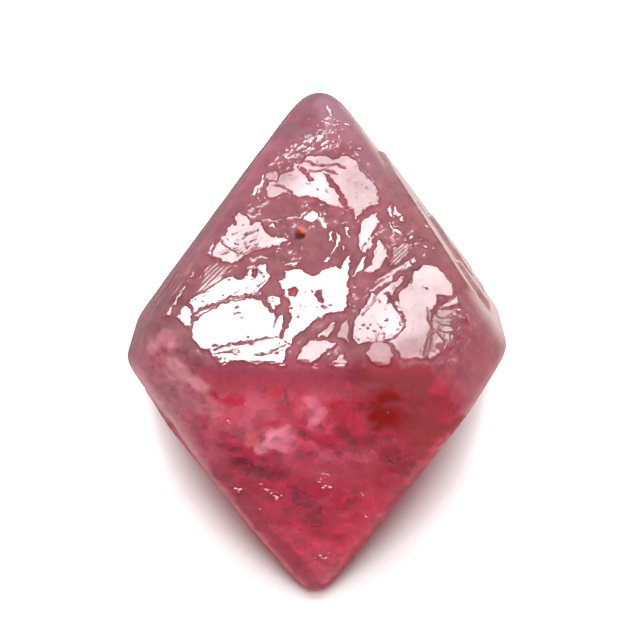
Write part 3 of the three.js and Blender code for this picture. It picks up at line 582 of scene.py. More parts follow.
def split_border(triangles, axis, parts):
    """Cuts each triangle that has one side on the plane axis = 0 into a fan of equal parts, so that it
    meets the finer grid across that side corner to corner."""
    on_plane = triangles[:, :, axis] == 0
    border = on_plane.sum(1) == 2
    rest, cut = triangles[~border], triangles[border]
    first = np.argmax(~on_plane[border], axis=1)
    order = (first[:, None] + np.arange(3)) % 3
    cut = np.take_along_axis(cut, order[:, :, None], axis=1)
    fans = []
    for part in range(parts):
        start = cut[:, 1] + (cut[:, 2] - cut[:, 1]) * part // parts
        end = cut[:, 1] + (cut[:, 2] - cut[:, 1]) * (part + 1) // parts
        fans.append(np.stack([cut[:, 0], start, end], 1))
    return np.concatenate([rest, *fans])


def crystal_grid():
    """Directions and triangles of the closed surface: eight triangular lattices, the top one finer,
    joined where their whole-number corners are the same. A corner's direction is the sum of the
    crystal axes, each weighted by its own number raised to the crowding power."""
    total = COARSE_STEPS * FINE_FACTOR
    triangles = []
    for name, (signs, _) in FACES.items():
        part = lattice_triangles(signs, 1 if name == "top" else FINE_FACTOR, total)
        if sum(signs) == 1:
            part = split_border(part, signs.index(-1), FINE_FACTOR)
        triangles.append(part)
    corners = np.concatenate(triangles).reshape(-1, 3)
    key = (corners + total) @ np.array([(2 * total + 1) ** 2, 2 * total + 1, 1])
    _, first, index = np.unique(key, return_index=True, return_inverse=True)
    whole = corners[first]
    shares = np.sign(whole) * (np.abs(whole) / total) ** EDGE_CROWDING
    return unit(to_row(shares)), index.reshape(-1, 3)


def terrace_outline(x, y, size):
    """Six corners round (x, y): two beside each of three directions 120 degrees apart, at a slightly
    uneven distance."""
    points = []
    for corner in range(3):
        wobble = 1 + TERRACE_WOBBLE * math.sin(5 * (corner + x + y))
        for side in (-1, 1):
            angle = math.pi / 2 + corner * 2 * math.pi / 3 + side * TERRACE_CORNER_CUT
            points.append((x + size * wobble * math.cos(angle), y + size * wobble * math.sin(angle)))
    return points


class Surface:
    """The crystal's vertices before and while they are shaped, with the gloss of each."""

    def __init__(self, directions, sizes):
        self.start = directions * blended_distance(directions)[:, None]
        self.points = self.start.copy()
        self.gloss = np.zeros(len(directions))
        self.wander = sizes.outline_wander / MM
        self.slope = sizes.plate_slope / MM
        self.swell = sizes.seam_swell / MM
        self.seed = sizes.seed

    def local(self, name):
        """Coordinates of the points in a face's own frame, nought at the face's foot point."""
        return self.points @ face_frame(name).T - (0, 0, PLANES[name][1])

    def move_to(self, name, chosen, heights):
        """Puts the chosen points at new heights over a face, along its normal."""
        normal = face_frame(name)[2]
        now = self.points[chosen] @ normal - PLANES[name][1]
        self.points[chosen] += (heights - now)[:, None] * normal


# Fine cracks on the top face: (half width, depth, line of points).
TOP_CRACKS = [
    (0.01, 0.01, [152, -62, 150, -80, 156, -92, 152, -110, 146, -140]),
    (0.01, 0.01, [156, -95, 168, -108, 174, -120, 172, -130]),
    (0.012, 0.012, [-160, -124, -140, -122, -110, -117, -84, -112]),
    (0.01, 0.012, [-155, -137, -130, -134, -122, -127]),
    (0.01, 0.012, [-98, -138, -80, -134, -62, -128, -54, -122]),
    (0.008, 0.012, [20, -116, 39, -128]),
    (0.014, 0.02, [-188, -72, -170, -62, -146, -50, -120, -42, -96, -40, -82, -30]),
    (0.01, 0.015, [-92, 38, -112, 28, -132, 34, -146, 50]),
    (0.012, 0.015, [-68, 142, -50, 136, -44, 128]),
    (0.01, 0.015, [52, 184, 62, 164, 72, 150]),
    (0.012, 0.015, [-26, 182, -5, 174, 20, 176, 34, 170]),
    (0.01, 0.015, [-20, 164, 4, 166, 20, 160]),
    (0.009, 0.008, [162, -70, 174, -78, 190, -78, 204, -72]),
    (0.009, 0.008, [160, -84, 172, -90, 188, -90, 198, -86]),
    (0.009, 0.008, [162, -98, 174, -102, 188, -100, 196, -94]),
    (0.012, 0.015, [120, -84, 110, -70, 100, -52, 94, -36]),
]

# Thin bright ridges on the top face: (half width, how mirror-bright, line of points).
TOP_RIDGES = [
    (0.014, 0.8, [97, 80, 100, 72, 105, 66, 112, 60]),
    (0.018, 0.6, [107, 104, 109, 94, 116, 86]),
    (0.014, 0.7, [-6, 96, 0, 84, 4, 70]),
    (0.012, 0.5, [-50, 86, -30, 90, -20, 100]),
    (0.014, 0.7, [114, 0, 124, 8, 134, 15]),
    (0.014, 0.6, [80, -24, 90, -20, 98, -16]),
    (0.014, 0.5, [70, -34, 86, -22, 100, -12]),
    (0.016, 0.45, [205, -92, 213, -87, 220, -83]),
    (0.016, 0.5, [200, -105, 212, -108, 228, -105]),
    (0.018, 0.4, [197, -120, 202, -130, 211, -129, 214, -120, 208, -113, 198, -116]),
    (0.016, 0.35, [186, -108, 190, -124, 186, -138]),
    (0.018, 0.6, [172, -150, 184, -142, 197, -137]),
    (0.018, 0.6, [186, -174, 193, -168, 202, -166]),
    (0.02, 0.7, [-100, 128, -96, 136, -88, 146, -84, 158]),
    (0.014, 0.5, [6, 276, 10, 266, 13, 258]),
    (0.012, 0.35, [2, 250, 12, 244, 24, 246]),
    (0.012, 0.35, [34, 244, 40, 242, 44, 244]),
    (0.012, 0.25, [14, 152, 30, 166, 42, 186]),
    (0.016, 0.7, [-146, -12, -162, -20, -178, -30]),
    (0.014, 0.5, [-220, -50, -212, -34, -204, -22]),
    (0.014, 0.5, [-102, 18, -86, 22, -76, 20]),
    (0.012, 0.4, [-60, 86, -70, 82, -86, 86]),
]

# Small round pits on the bright plates: x, y, radius.
TOP_DOTS = [
    (0.04, -0.62, 0.02), (0, -0.6, 0.018), (0.12, -0.57, 0.015), (-0.13, -0.34, 0.015),
    (-0.44, -0.6, 0.018), (-0.36, -0.76, 0.02), (-1.23, -0.62, 0.014), (-1.25, -0.7, 0.012),
    (-1.19, -0.7, 0.012), (-1.16, -0.78, 0.014), (-1.08, -1.1, 0.016), (0.1, 1.4, 0.02),
    (-0.18, 1.5, 0.014), (-0.06, 1.36, 0.012), (1.3, -0.2, 0.014), (1.5, -0.3, 0.012),
    (1.12, -0.9, 0.016), (0.6, -0.9, 0.014), (0.85, -0.95, 0.014), (-1.1, 0.6, 0.012),
]

# Small bright grains on the etched rim: x, y, radius.
TOP_GRAINS = [
    (1.47, 0.73, 0.022), (1.4, 0.74, 0.018), (1.14, 0.84, 0.03), (1.5, 0.39, 0.02), (1.6, 0.38, 0.022),
    (1.3, 0.53, 0.026), (1.44, 0.52, 0.016), (0.53, 2.03, 0.02), (-0.38, 0.96, 0.02), (-0.06, 2.42, 0.014),
    (0.24, 2.52, 0.018), (-1.3, 0.93, 0.025), (0.98, 1.16, 0.012), (2.06, -0.76, 0.014),
]

# Patches of the top face that are less bright: x, y, radius, share of the brightness that is kept.
TOP_SHADES = [
    (0.6, 1.5, 0.4, 0.75), (-0.6, 1.62, 0.25, 0.7), (1.3, -1.36, 0.42, 0.45), (1.7, -1.0, 0.4, 0.75),
    (0.1, 1.86, 0.25, 0.8), (1.04, -0.9, 0.2, 1.25), (1.5, -0.05, 0.35, 1.3), (-0.1, 1.3, 0.45, 1.5),
]

PATCH_LENGTH = 0.5  # wavelength of the soft patches in gloss, seams and tint
SWELL_LENGTH = 0.3  # and of the soft swells
TOP_DEPTH = 0.2  # the marks reach this far down the rounded rim
TOP_FADE = (-0.06, -0.02)  # the swells of the seams fade out between these heights on the rim
BOX_MARGIN = 0.1  # no mark changes the face further than this from its own line
LIFT_LIMIT = 0.035  # no mark raises the face by more than this
FLECK_HEIGHT = 0.014  # of the flecks and grains
RIDGE_HEIGHT = 0.006
PLATE_LEAN = 0.004  # spread of the plates' slopes
GLOSS_EDGE = (-0.012, 0.004)  # the gloss of a raised mark sets in between these distances inside it
FLECK_GLOSS = 0.75
GRAIN_GLOSS = 0.6
GLOSS_WANDER = 0.12  # how much the gloss varies softly from place to place

# Outlines stray by soft bends and, on top of them, by finer teeth: their wavelengths, the teeth's share
BEND_LENGTH = 0.11
TOOTH_LENGTH = 0.045
TOOTH_SHARE = 0.7

# Fine lines in the plates run at these angles, in degrees, left and right of LINED_BREAK.
LINED_ANGLES = (24, 47)
LINED_BREAK = 0.45
LINE_SIZE = (0.6, 0.07)  # wavelength along and across them
LINE_EDGE = (0.05, 0.17)  # where their field is between these, they fade out
LINE_GAPS = (-0.25, 0.2)  # the field that allows them sets in between these
SPECK_LENGTH = 0.036  # wavelength of the specks in the plates
SPECK_EDGE = (0.72, 0.85)
SPECK_SHARE = 0.15  # each plate shows this much of the specks, besides the share of its lines
MARK_DEPTH = 0.007  # of lines, specks and stripes

# Even stripes run in the plates whose lining is 1.
STRIPE_PERIOD = 0.05
STRIPE_BEND = 0.25  # how far soft patches move them, in periods
STRIPE_EDGE = (0.4, 0.7)
STRIPE_STRENGTH = 0.9

# A strip of tiny bright etch marks: its ends, half width and soft border, size and edge of the marks
ETCHED_STRIP = ((-0.62, 1.98), (0.1, 2.2))
ETCHED_HALF_WIDTH = 0.2
ETCHED_BORDER = 0.1
ETCHED_SIZE = (0.07, 0.026)
ETCHED_EDGE = (0.3, 0.5)
ETCHED_GLOSS = 0.7

# Small bright marks lie in the seams where a fractal sum is between these or above.
SEAM_PLACES = (0.1, 0.4)
SEAM_SIZE = (0.06, 0.03)
SEAM_EDGE = (0.62, 0.85)
SEAM_GLOSS = 0.5

HOLLOW_WALL = 0.012  # half the width of the wall round a hollow
CRACK_EDGE = (0.3, 1.6)  # a crack fades out between these shares of its half width
DOT_DEPTH = 0.02
DOT_EDGE = (0.4, 1.3)  # and a dot between these shares of its radius
SHADE_CORE = 0.3  # a shade is full up to this share of its radius
PIT_BORDER = 0.02  # the gloss comes back this far outside the etch pit


def raised(heights, flat, share):
    """Heights brought up to a flat by a share of the way, and never lowered."""
    return np.maximum(heights, heights + (flat - heights) * share)


class Relief:
    """Heights and gloss over the flat part of the top face, while they are worked on."""

    def __init__(self, surface):
        local = surface.local("top")
        self.chosen = np.nonzero(local[:, 2] > -TOP_DEPTH)[0]
        self.flat = local[self.chosen, :2]
        self.heights = local[self.chosen, 2].copy()
        self.gloss = np.zeros(len(self.chosen))
        self.slope = surface.slope
        stray = [self.fray(surface.seed + 9 * axis) for axis in range(2)]
        self.pts = self.flat + surface.wander * np.stack(stray, 1)

    def fray(self, seed):
        """Random stray of the outlines: soft bends plus a share of much finer teeth."""
        teeth = fractal(self.flat, TOOTH_LENGTH, seed + 3, 2, 0.6)
        return fractal(self.flat, BEND_LENGTH, seed, 3, 0.6) + TOOTH_SHARE * teeth

    def measure(self, line, closed=False):
        """Which points lie in the line's own box, widened by BOX_MARGIN, and how far they are from it."""
        low, high = np.min(line, axis=0) - BOX_MARGIN, np.max(line, axis=0) + BOX_MARGIN
        chosen = np.nonzero(np.all((self.pts > low) & (self.pts < high), axis=1))[0]
        return chosen, distance_to_line(self.pts[chosen], line, closed)

    def lift(self, chosen, inside, height, bright):
        """Raises points to a height, though by no more than LIFT_LIMIT, so that the marks follow the
        rounded rim. The share is an eased step of the distance inside the outline, as wide as the walls of
        the plates. Gloss takes the brighter value inside."""
        now = self.heights[chosen]
        height = np.minimum(height, now + LIFT_LIMIT)
        self.heights[chosen] = raised(now, height, ease(inside, -self.slope, 0))
        self.gloss[chosen] = np.maximum(self.gloss[chosen], bright * ease(inside, *GLOSS_EDGE))

    def sink(self, chosen, share, depth):
        """Lowers points by a depth times a share, and takes the same share of their gloss away."""
        self.heights[chosen] -= depth * share
        self.gloss[chosen] *= 1 - share


def lines_along(points, degrees, size, seed):
    """Random field stretched along an angle: the coordinates are turned by the angle, divided by the
    wavelengths along and across it, and put through the fractal sum."""
    a = math.radians(degrees)
    turned = points @ np.array([[math.cos(a), -math.sin(a)], [math.sin(a), math.cos(a)]])
    return fractal(turned / size, 1.0, seed, 3, 0.6)


def fine_lines(points, seed):
    """How deep the fine lines are at each point, 0 to 1: narrow bands round the noughts of two fields
    stretched along LINED_ANGLES, one for each side of LINED_BREAK, where a third field allows them."""
    left, right = [
        lines_along(points, degrees, LINE_SIZE, seed + k) for k, degrees in enumerate(LINED_ANGLES)]
    field = np.where(points[:, 0] < LINED_BREAK, left, right)
    allowed = ease(fractal(points, SWELL_LENGTH, seed + 5), *LINE_GAPS)
    return (1 - ease(np.abs(field), *LINE_EDGE)) * allowed


def raise_plates(relief, seed, patches):
    """Lifts each plate to its own flat, which leans at random. Its marks lie a little lower and are less
    bright: fine lines and specks by its own share, or even stripes, the sine of the distance across them
    plus the soft patches."""
    rng = np.random.default_rng(seed)
    lines = fine_lines(relief.flat, seed + 20)
    specks = ease(value_noise(relief.flat, SPECK_LENGTH, seed + 40), *SPECK_EDGE)
    across = math.radians(LINED_ANGLES[1])
    phase = (relief.flat @ (-math.sin(across), math.cos(across))) / STRIPE_PERIOD + STRIPE_BEND * patches
    stripes = 0.5 + 0.5 * np.sin(2 * math.pi * phase)
    for height, bright, lined, outline in TOP_PLATES.values():
        outline = trace(outline)
        chosen, inside = relief.measure(outline, closed=True)
        middle = np.mean(outline, axis=0)
        flat = height + (relief.pts[chosen] - middle) @ rng.normal(0, PLATE_LEAN, 2)
        marks = np.clip(lined * lines[chosen] + (SPECK_SHARE + lined) * specks[chosen], 0, 1)
        if lined == 1:
            marks = STRIPE_STRENGTH * ease(stripes[chosen], *STRIPE_EDGE)
        relief.lift(chosen, inside, flat - MARK_DEPTH * marks, bright * (1 - marks))


def add_etch_marks(relief, seed, flatness):
    """Bright marks without height: where fields stretched along LINED_ANGLES are high, in the etched
    strip and in some of the seams."""
    away = distance_to_line(relief.pts, ETCHED_STRIP)
    reach = ease(ETCHED_HALF_WIDTH - away, 0, ETCHED_BORDER)
    marks = reach * ease(lines_along(relief.flat, LINED_ANGLES[1], ETCHED_SIZE, seed + 60), *ETCHED_EDGE)
    relief.gloss = np.maximum(relief.gloss, ETCHED_GLOSS * marks)
    allowed = ease(fractal(relief.flat, PATCH_LENGTH, seed + 64), *SEAM_PLACES)
    marks = allowed * ease(lines_along(relief.flat, LINED_ANGLES[0], SEAM_SIZE, seed + 62), *SEAM_EDGE)
    relief.gloss = np.maximum(relief.gloss, SEAM_GLOSS * marks * flatness)


def cut_top(relief):
    """Hollows down to the plane of the face, cracks, dots, and the etch pit, a cone."""
    for depth, outline in TOP_HOLLOWS.values():
        chosen, inside = relief.measure(trace(outline), closed=True)
        relief.sink(chosen, ease(inside, -HOLLOW_WALL, HOLLOW_WALL), depth + relief.heights[chosen])
    for half_width, depth, line in TOP_CRACKS:
        chosen, away = relief.measure(trace(line))
        relief.sink(chosen, 1 - ease(away / half_width, *CRACK_EDGE), depth)
    for x, y, radius in TOP_DOTS:
        chosen, away = relief.measure([(x, y)])
        relief.sink(chosen, 1 - ease(away / radius, *DOT_EDGE), DOT_DEPTH)
    x, y, radius, depth = ETCH_PIT
    away = distance_to_line(relief.pts, [(x, y)])
    relief.heights = np.minimum(relief.heights, depth * (away / radius - 1))
    relief.gloss *= ease(away, radius, radius + PIT_BORDER)


def shape_top(surface):
    """The top face: soft swells in the etched seams, then the flat plates, flecks, ridges and grains over
    them, then the etch marks and shades, and last what is cut into it all."""
    seed = surface.seed
    relief = Relief(surface)
    patches = fractal(relief.flat, PATCH_LENGTH, seed + 50)
    flatness = ease(relief.heights, *TOP_FADE)
    relief.heights += surface.swell * flatness * fractal(relief.flat, SWELL_LENGTH, seed + 2, 4, 0.6)
    raise_plates(relief, seed, patches)
    for outline in TOP_FLECKS:
        relief.lift(*relief.measure(trace(outline), closed=True), FLECK_HEIGHT, FLECK_GLOSS)
    for half_width, bright, line in TOP_RIDGES:
        chosen, away = relief.measure(trace(line))
        relief.lift(chosen, half_width - away, RIDGE_HEIGHT, bright)
    for x, y, radius in TOP_GRAINS:
        chosen, away = relief.measure([(x, y)])
        relief.lift(chosen, radius - away, FLECK_HEIGHT, GRAIN_GLOSS)
    add_etch_marks(relief, seed, flatness)
    for x, y, radius, kept in TOP_SHADES:
        share = 1 - ease(distance_to_line(relief.flat, [(x, y)]), SHADE_CORE * radius, radius)
        relief.gloss *= 1 + (kept - 1) * share
    relief.gloss *= 1 + GLOSS_WANDER * patches
    cut_top(relief)
    surface.move_to("top", relief.chosen, relief.heights)
    surface.gloss[relief.chosen] = np.clip(relief.gloss, 0, 1)


SIDE_DEPTH = 0.25  # the marks of the side faces reach this far down their rounded rims
SIDE_FADE = (-0.16, -0.05)  # and fade out between these heights
SIDE_WANDER = 1.5  # how much further than the plates' outlines the terraces' stray
TERRACE_WALL = 0.06
LEDGE_WALL = 0.05
TRIGON_TURNS = np.radians([90, 210, 330])


def shape_side(surface, name):
    """A side face: terraces and the ledge raised to their flats, then triangular pits, whose depth at a
    point is the greatest of three straight ramps."""
    local = surface.local(name)
    chosen = np.nonzero(local[:, 2] > -SIDE_DEPTH)[0]
    pts = local[chosen, :2]
    heights = local[chosen, 2].copy()
    fade = ease(heights, *SIDE_FADE)
    stray = np.stack([fractal(pts, SWELL_LENGTH, surface.seed + k) for k in (3, 4)], 1)
    strayed = pts + SIDE_WANDER * surface.wander * stray
    for x, y, size, height in TERRACES.get(name, []):
        inside = distance_to_line(strayed, terrace_outline(x, y, size), closed=True)
        heights = raised(heights, height, ease(inside, -TERRACE_WALL, 0) * fade)
    if name == "front":
        heights += FRONT_SWELL * fade * fractal(pts, SWELL_LENGTH, surface.seed + 6, 3, 0.6)
    if name == "right_upper":
        inside = distance_to_line(pts, trace(LEDGE), closed=True)
        flat = LEDGE_HEIGHT + pts[:, 1] * math.sin(math.radians(LEDGE_LEAN))
        heights = raised(heights, flat, ease(inside, -LEDGE_WALL, 0) * fade)
    for x, y, size, depth in TRIGONS.get(name, []):
        ramp = ((pts - (x, y)) @ np.array([np.cos(TRIGON_TURNS), np.sin(TRIGON_TURNS)])).max(1)
        heights = np.minimum(heights, depth * (2 * ramp / size - 1))
    surface.move_to(name, chosen, heights)


LEAST_ROUGHNESS = 0.05
TINT_WANDER = 0.12  # how much the tint's brightness varies softly from place to place
PATCH_EDGE = (0.35, 1.2)  # a patch fades out between these shares of its radius
PATCH_DEPTHS = (0.1, 0.4)  # and between these depths under its face


def skin(surface):
    """Roughness, milkiness, mottling and tint of each vertex: the SKINS of the faces, averaged with the
    weights exp(-depth below the face's plane / SKIN_REACH), then the PATCHES, each blended in by an eased
    step of the distance to its line plus a fractal sum, which makes its outline ragged."""
    start = surface.start
    depths = np.stack([PLANES[name][1] - start @ PLANES[name][0] for name in SKINS], 1)
    weights = np.exp(-(depths - depths.min(1, keepdims=True)) / SKIN_REACH)
    weights /= weights.sum(1, keepdims=True)
    rough, milk, mottle = (weights @ np.array([values[:3] for values in SKINS.values()])).T.copy()
    tint = weights @ np.array([values[3] for values in SKINS.values()])
    uneven = fractal(start, PATCH_LENGTH, surface.seed + 70, 4, 0.6)
    ragged = fractal(start, RAGGED_LENGTH, surface.seed + 71, 3, 0.6)
    for face, first, last, radius, strength, more_milk, colour in PATCHES:
        local = start @ face_frame(face).T - (0, 0, PLANES[face][1])
        near = np.nonzero(-local[:, 2] < PATCH_DEPTHS[1])[0]
        away = distance_to_line(local[near, :2], [first, last]) / radius
        away += min(RAGGED_MOST, RAGGED_RISE * radius) * ragged[near]
        share = strength * (1 - ease(away, *PATCH_EDGE)) * (1 - ease(-local[near, 2], *PATCH_DEPTHS))
        milk[near] += more_milk * share
        rough[near] += more_milk * share
        mottle[near] *= 1 - min(SMOOTH_MOST, SMOOTH_RISE * radius) * share
        tint[near] += (np.array(colour) - tint[near]) * share[:, None]
    tint = np.clip(tint * (1 + TINT_WANDER * uneven[:, None]), 0, 1)
    return {"rough": rough.clip(LEAST_ROUGHNESS, 1), "milk": milk, "mottle": mottle}, tint


def kept_inside(centres, margin):
    """The points themselves, or where they lie outside the rounded octahedron less a margin, points
    drawn in towards the middle to that surface."""
    distance = np.linalg.norm(centres, axis=1)
    reach = blended_distance(centres / distance[:, None]) - margin
    return centres * np.minimum(1, reach / distance)[:, None]


SKIN_MARGIN = 0.03  # what lies deeper than this under the front face stays this far inside the skin


def on_front(places, depth):
    """Points under the front face, from (x, y) in its frame and a depth: the depth moves them inward
    along the normal and DEPTH_SHIFT times as far down the slope. None is left outside the crystal."""
    x, y = np.atleast_2d(places).T
    depth = np.broadcast_to(depth, x.shape)
    local = np.stack([x, y + DEPTH_SHIFT * depth, FACES["front"][1] - depth], 1)
    return kept_inside(local @ face_frame("front"), np.minimum(depth, SKIN_MARGIN))


FLAKE_SIDES = 6
FLAKE_REACH = (0.35, 1.35)  # least and greatest distance of a corner, in radii
STEEP = 0.7  # a normal less than this along the first axis can be crossed with it


def flakes(centres, normals, radii, thickness, rng, stretch=1):
    """Closed thin flakes. Each has FLAKE_SIDES corners round its centre, in the plane across its normal,
    at an uneven distance, and one more point on each side, its thickness away. With a stretch, level
    flakes are longer along y and narrower along x."""
    count = len(centres)
    helper = np.where(np.abs(normals[:, :1]) < STEEP, [[1.0, 0, 0]], [[0, 1.0, 0]])
    u = unit(np.cross(normals, helper))
    v = np.cross(normals, u)
    k = np.arange(FLAKE_SIDES)
    turn = 2 * math.pi * (k / FLAKE_SIDES + rng.random((count, 1)))
    reach = radii[:, None] * rng.uniform(*FLAKE_REACH, (count, FLAKE_SIDES))
    ring = (centres[:, None] + (reach * np.cos(turn) / stretch)[:, :, None] * u[:, None]
            + (reach * np.sin(turn) * stretch)[:, :, None] * v[:, None])
    rise = (thickness * radii)[:, None] * normals
    points = np.concatenate([ring, (centres + rise)[:, None], (centres - rise)[:, None]], 1)
    after = (k + 1) % FLAKE_SIDES
    above = np.stack([k, after, np.full(FLAKE_SIDES, FLAKE_SIDES)], 1)
    below = np.stack([after, k, np.full(FLAKE_SIDES, FLAKE_SIDES + 1)], 1)
    one = np.concatenate([above, below])
    triangles = one[None] + (FLAKE_SIDES + 2) * np.arange(count)[:, None, None]
    return points.reshape(-1, 3), triangles.reshape(-1, 3)


# Flakes of the veils: their spread in shares of the cloud's half widths, their thickness and radius in
# shares of the mean radius, how far and over what length their depths wander, and the least and greatest
# share of the cloud's own depth
VEIL_SPREAD = 0.5
VEIL_THICKNESS = 0.15
VEIL_RADII = (0.5, 1.5)
VEIL_WANDER = 0.5
VEIL_WAVELENGTH = 0.15
VEIL_DEPTHS = (0.3, 2)


def veil_flakes(clouds, rng):
    """Flakes of all the clouds: places from a normal distribution cut off at twice its width, depths
    that wander with the place, normals that lean far and at random from the front face's own."""
    places, depths, radii = [], [], []
    for x, y, half_width, half_height, depth, count, radius in clouds:
        spot = np.clip(rng.normal(0, VEIL_SPREAD, (count, 2)), -1, 1) * (half_width, half_height) + (x, y)
        places.append(spot)
        share = 1 + VEIL_WANDER * fractal(spot, VEIL_WAVELENGTH, len(places))
        depths.append(depth * share.clip(*VEIL_DEPTHS))
        radii.append(radius * rng.uniform(*VEIL_RADII, count))
    centres = on_front(np.concatenate(places), np.concatenate(depths))
    normals = unit(face_frame("front")[2] + rng.normal(0, 1, centres.shape))
    return flakes(centres, normals, np.concatenate(radii), VEIL_THICKNESS, rng)


RIBBON_STEPS = 13
RIBBON_TIP = 0.02  # least half width, as a share of the greatest
RIBBON_FLATNESS = 0.5  # half thickness, as a share of the half width


def ribbon(half_width, depth, line):
    """A closed strip with pointed ends under the front face: at each of RIBBON_STEPS places along the
    line a flattened square section, whose half width is the sine of half a turn times the share of the
    way."""
    line = trace(line)
    along = np.concatenate([[0], np.cumsum(np.linalg.norm(np.diff(line, axis=0), axis=1))])
    share = np.linspace(0, 1, RIBBON_STEPS)
    spots = np.stack([np.interp(share * along[-1], along, line[:, k]) for k in range(2)], 1)
    centres = on_front(spots, depth)
    tangent = unit(np.gradient(centres, axis=0))
    inward = -face_frame("front")[2]
    across = unit(np.cross(tangent, inward))
    half = half_width * np.maximum(np.sin(math.pi * share), RIBBON_TIP)[:, None]
    corners = [centres + half * across, centres + RIBBON_FLATNESS * half * inward,
               centres - half * across, centres - RIBBON_FLATNESS * half * inward]
    points = np.stack(corners, 1).reshape(-1, 3)
    step, corner = np.meshgrid(np.arange(RIBBON_STEPS - 1), np.arange(4), indexing="ij")
    a = (4 * step + corner).ravel()
    b = (4 * step + (corner + 1) % 4).ravel()
    triangles = np.concatenate([
        np.stack([a, b, b + 4], 1), np.stack([a, b + 4, a + 4], 1),
        [[0, 2, 1], [0, 3, 2]], 4 * (RIBBON_STEPS - 1) + np.array([[0, 1, 2], [0, 2, 3]])])
    return points, triangles[:, ::-1]


LUMP_STEPS = 12


def lump(middle, lumps, uneven, seed):
    """A closed grain: the outer surface of overlapping balls, found along the directions of a finely
    divided octahedron from the middle, times one plus an uneven fractal sum."""
    triangles = np.concatenate([lattice_triangles(signs, 1, LUMP_STEPS) for signs, _ in FACES.values()])
    corners, index = np.unique(triangles.reshape(-1, 3), axis=0, return_inverse=True)
    directions = unit(to_row(corners))
    reach = np.zeros(len(directions))
    for x, y, z, radius in lumps:
        along = directions @ (x, y, z)
        gap = radius**2 - (x * x + y * y + z * z) + along**2
        reach = np.maximum(reach, along + np.sqrt(np.maximum(gap, 0)))
    points = directions * (reach * (1 + uneven * fractal(directions, 0.5, seed, 4, 0.6)))[:, None]
    return points @ face_frame("front") + middle, index.reshape(-1, 3)


def join(parts):
    """One mesh from several: the points one after another and the corners counted on."""
    starts = np.cumsum([0] + [len(points) for points, _ in parts[:-1]])
    return (np.concatenate([points for points, _ in parts]),
            np.concatenate([triangles + start for (_, triangles), start in zip(parts, starts)]))


def add_mesh(name, points, triangles):
    """A new mesh object from arrays of points in metres and of triangle corners, with smooth shading."""
    mesh = bpy.data.meshes.new(name)
    mesh.vertices.add(len(points))
    mesh.vertices.foreach_set("co", points.astype(np.float32).ravel())
    mesh.loops.add(triangles.size)
    mesh.loops.foreach_set("vertex_index", triangles.astype(np.int32).ravel())
    mesh.polygons.add(len(triangles))
    mesh.polygons.foreach_set("loop_start", np.arange(0, triangles.size, 3, dtype=np.int32))
    mesh.polygons.foreach_set("use_smooth", np.ones(len(triangles), bool))
    mesh.update(calc_edges=True)
    mesh.validate()
    obj = bpy.data.objects.new(name, mesh)
    bpy.context.scene.collection.objects.link(obj)
    return obj


def add_value(obj, name, values):
    """Stores one number at each vertex, for the material to read."""
    obj.data.attributes.new(name, "FLOAT", "POINT").data.foreach_set("value", values.astype(np.float32))


def add_colour(obj, name, colours):
    """Stores one colour at each vertex, for the material to read."""
    rgba = np.column_stack([colours, np.ones(len(colours))]).astype(np.float32)
    obj.data.attributes.new(name, "FLOAT_COLOR", "POINT").data.foreach_set("color", rgba.ravel())


def to_metres(points):
    """From millimetres round the crystal's centre to metres with the origin on the floor."""
    return (points - (*MIDDLE, -REST_DEPTH)) * MM


# ------------------------------------------------------------------ materials


class Nodes:
    """Short calls for a node tree."""

    def __init__(self, material):
        material.use_nodes = True
        self.tree = material.node_tree
        self.tree.nodes.clear()

    def add(self, kind, inputs=None, **settings):
        """A new node with its settings made, and its inputs set to values or linked to sockets."""
        node = self.tree.nodes.new(kind)
        for key, value in settings.items():
            setattr(node, key, value)
        for key, value in (inputs or {}).items():
            socket = node.inputs[key]
            if isinstance(value, bpy.types.NodeSocket):
                self.tree.links.new(value, socket)
            else:
                socket.default_value = value
        return node


REFRACTIVE_INDEX = 1.718
MIRROR_TINT = (0.02, 0.02, 0.02, 1)  # what is left of the mirror look of the etched skin

# The uneven tint: cycles per metre of a cloudy noise and of angular grains, how far the noise moves the
# grains' borders, how much the grains count, and the sums between which it runs from dark to light
CLOUD_SCALE = 5000.0
GRAIN_SCALE = 9000.0
GRAIN_STRAY = 0.16 * MM
GRAIN_SHARE = 0.3
MOTTLE_RANGE = (0.4, 0.9)


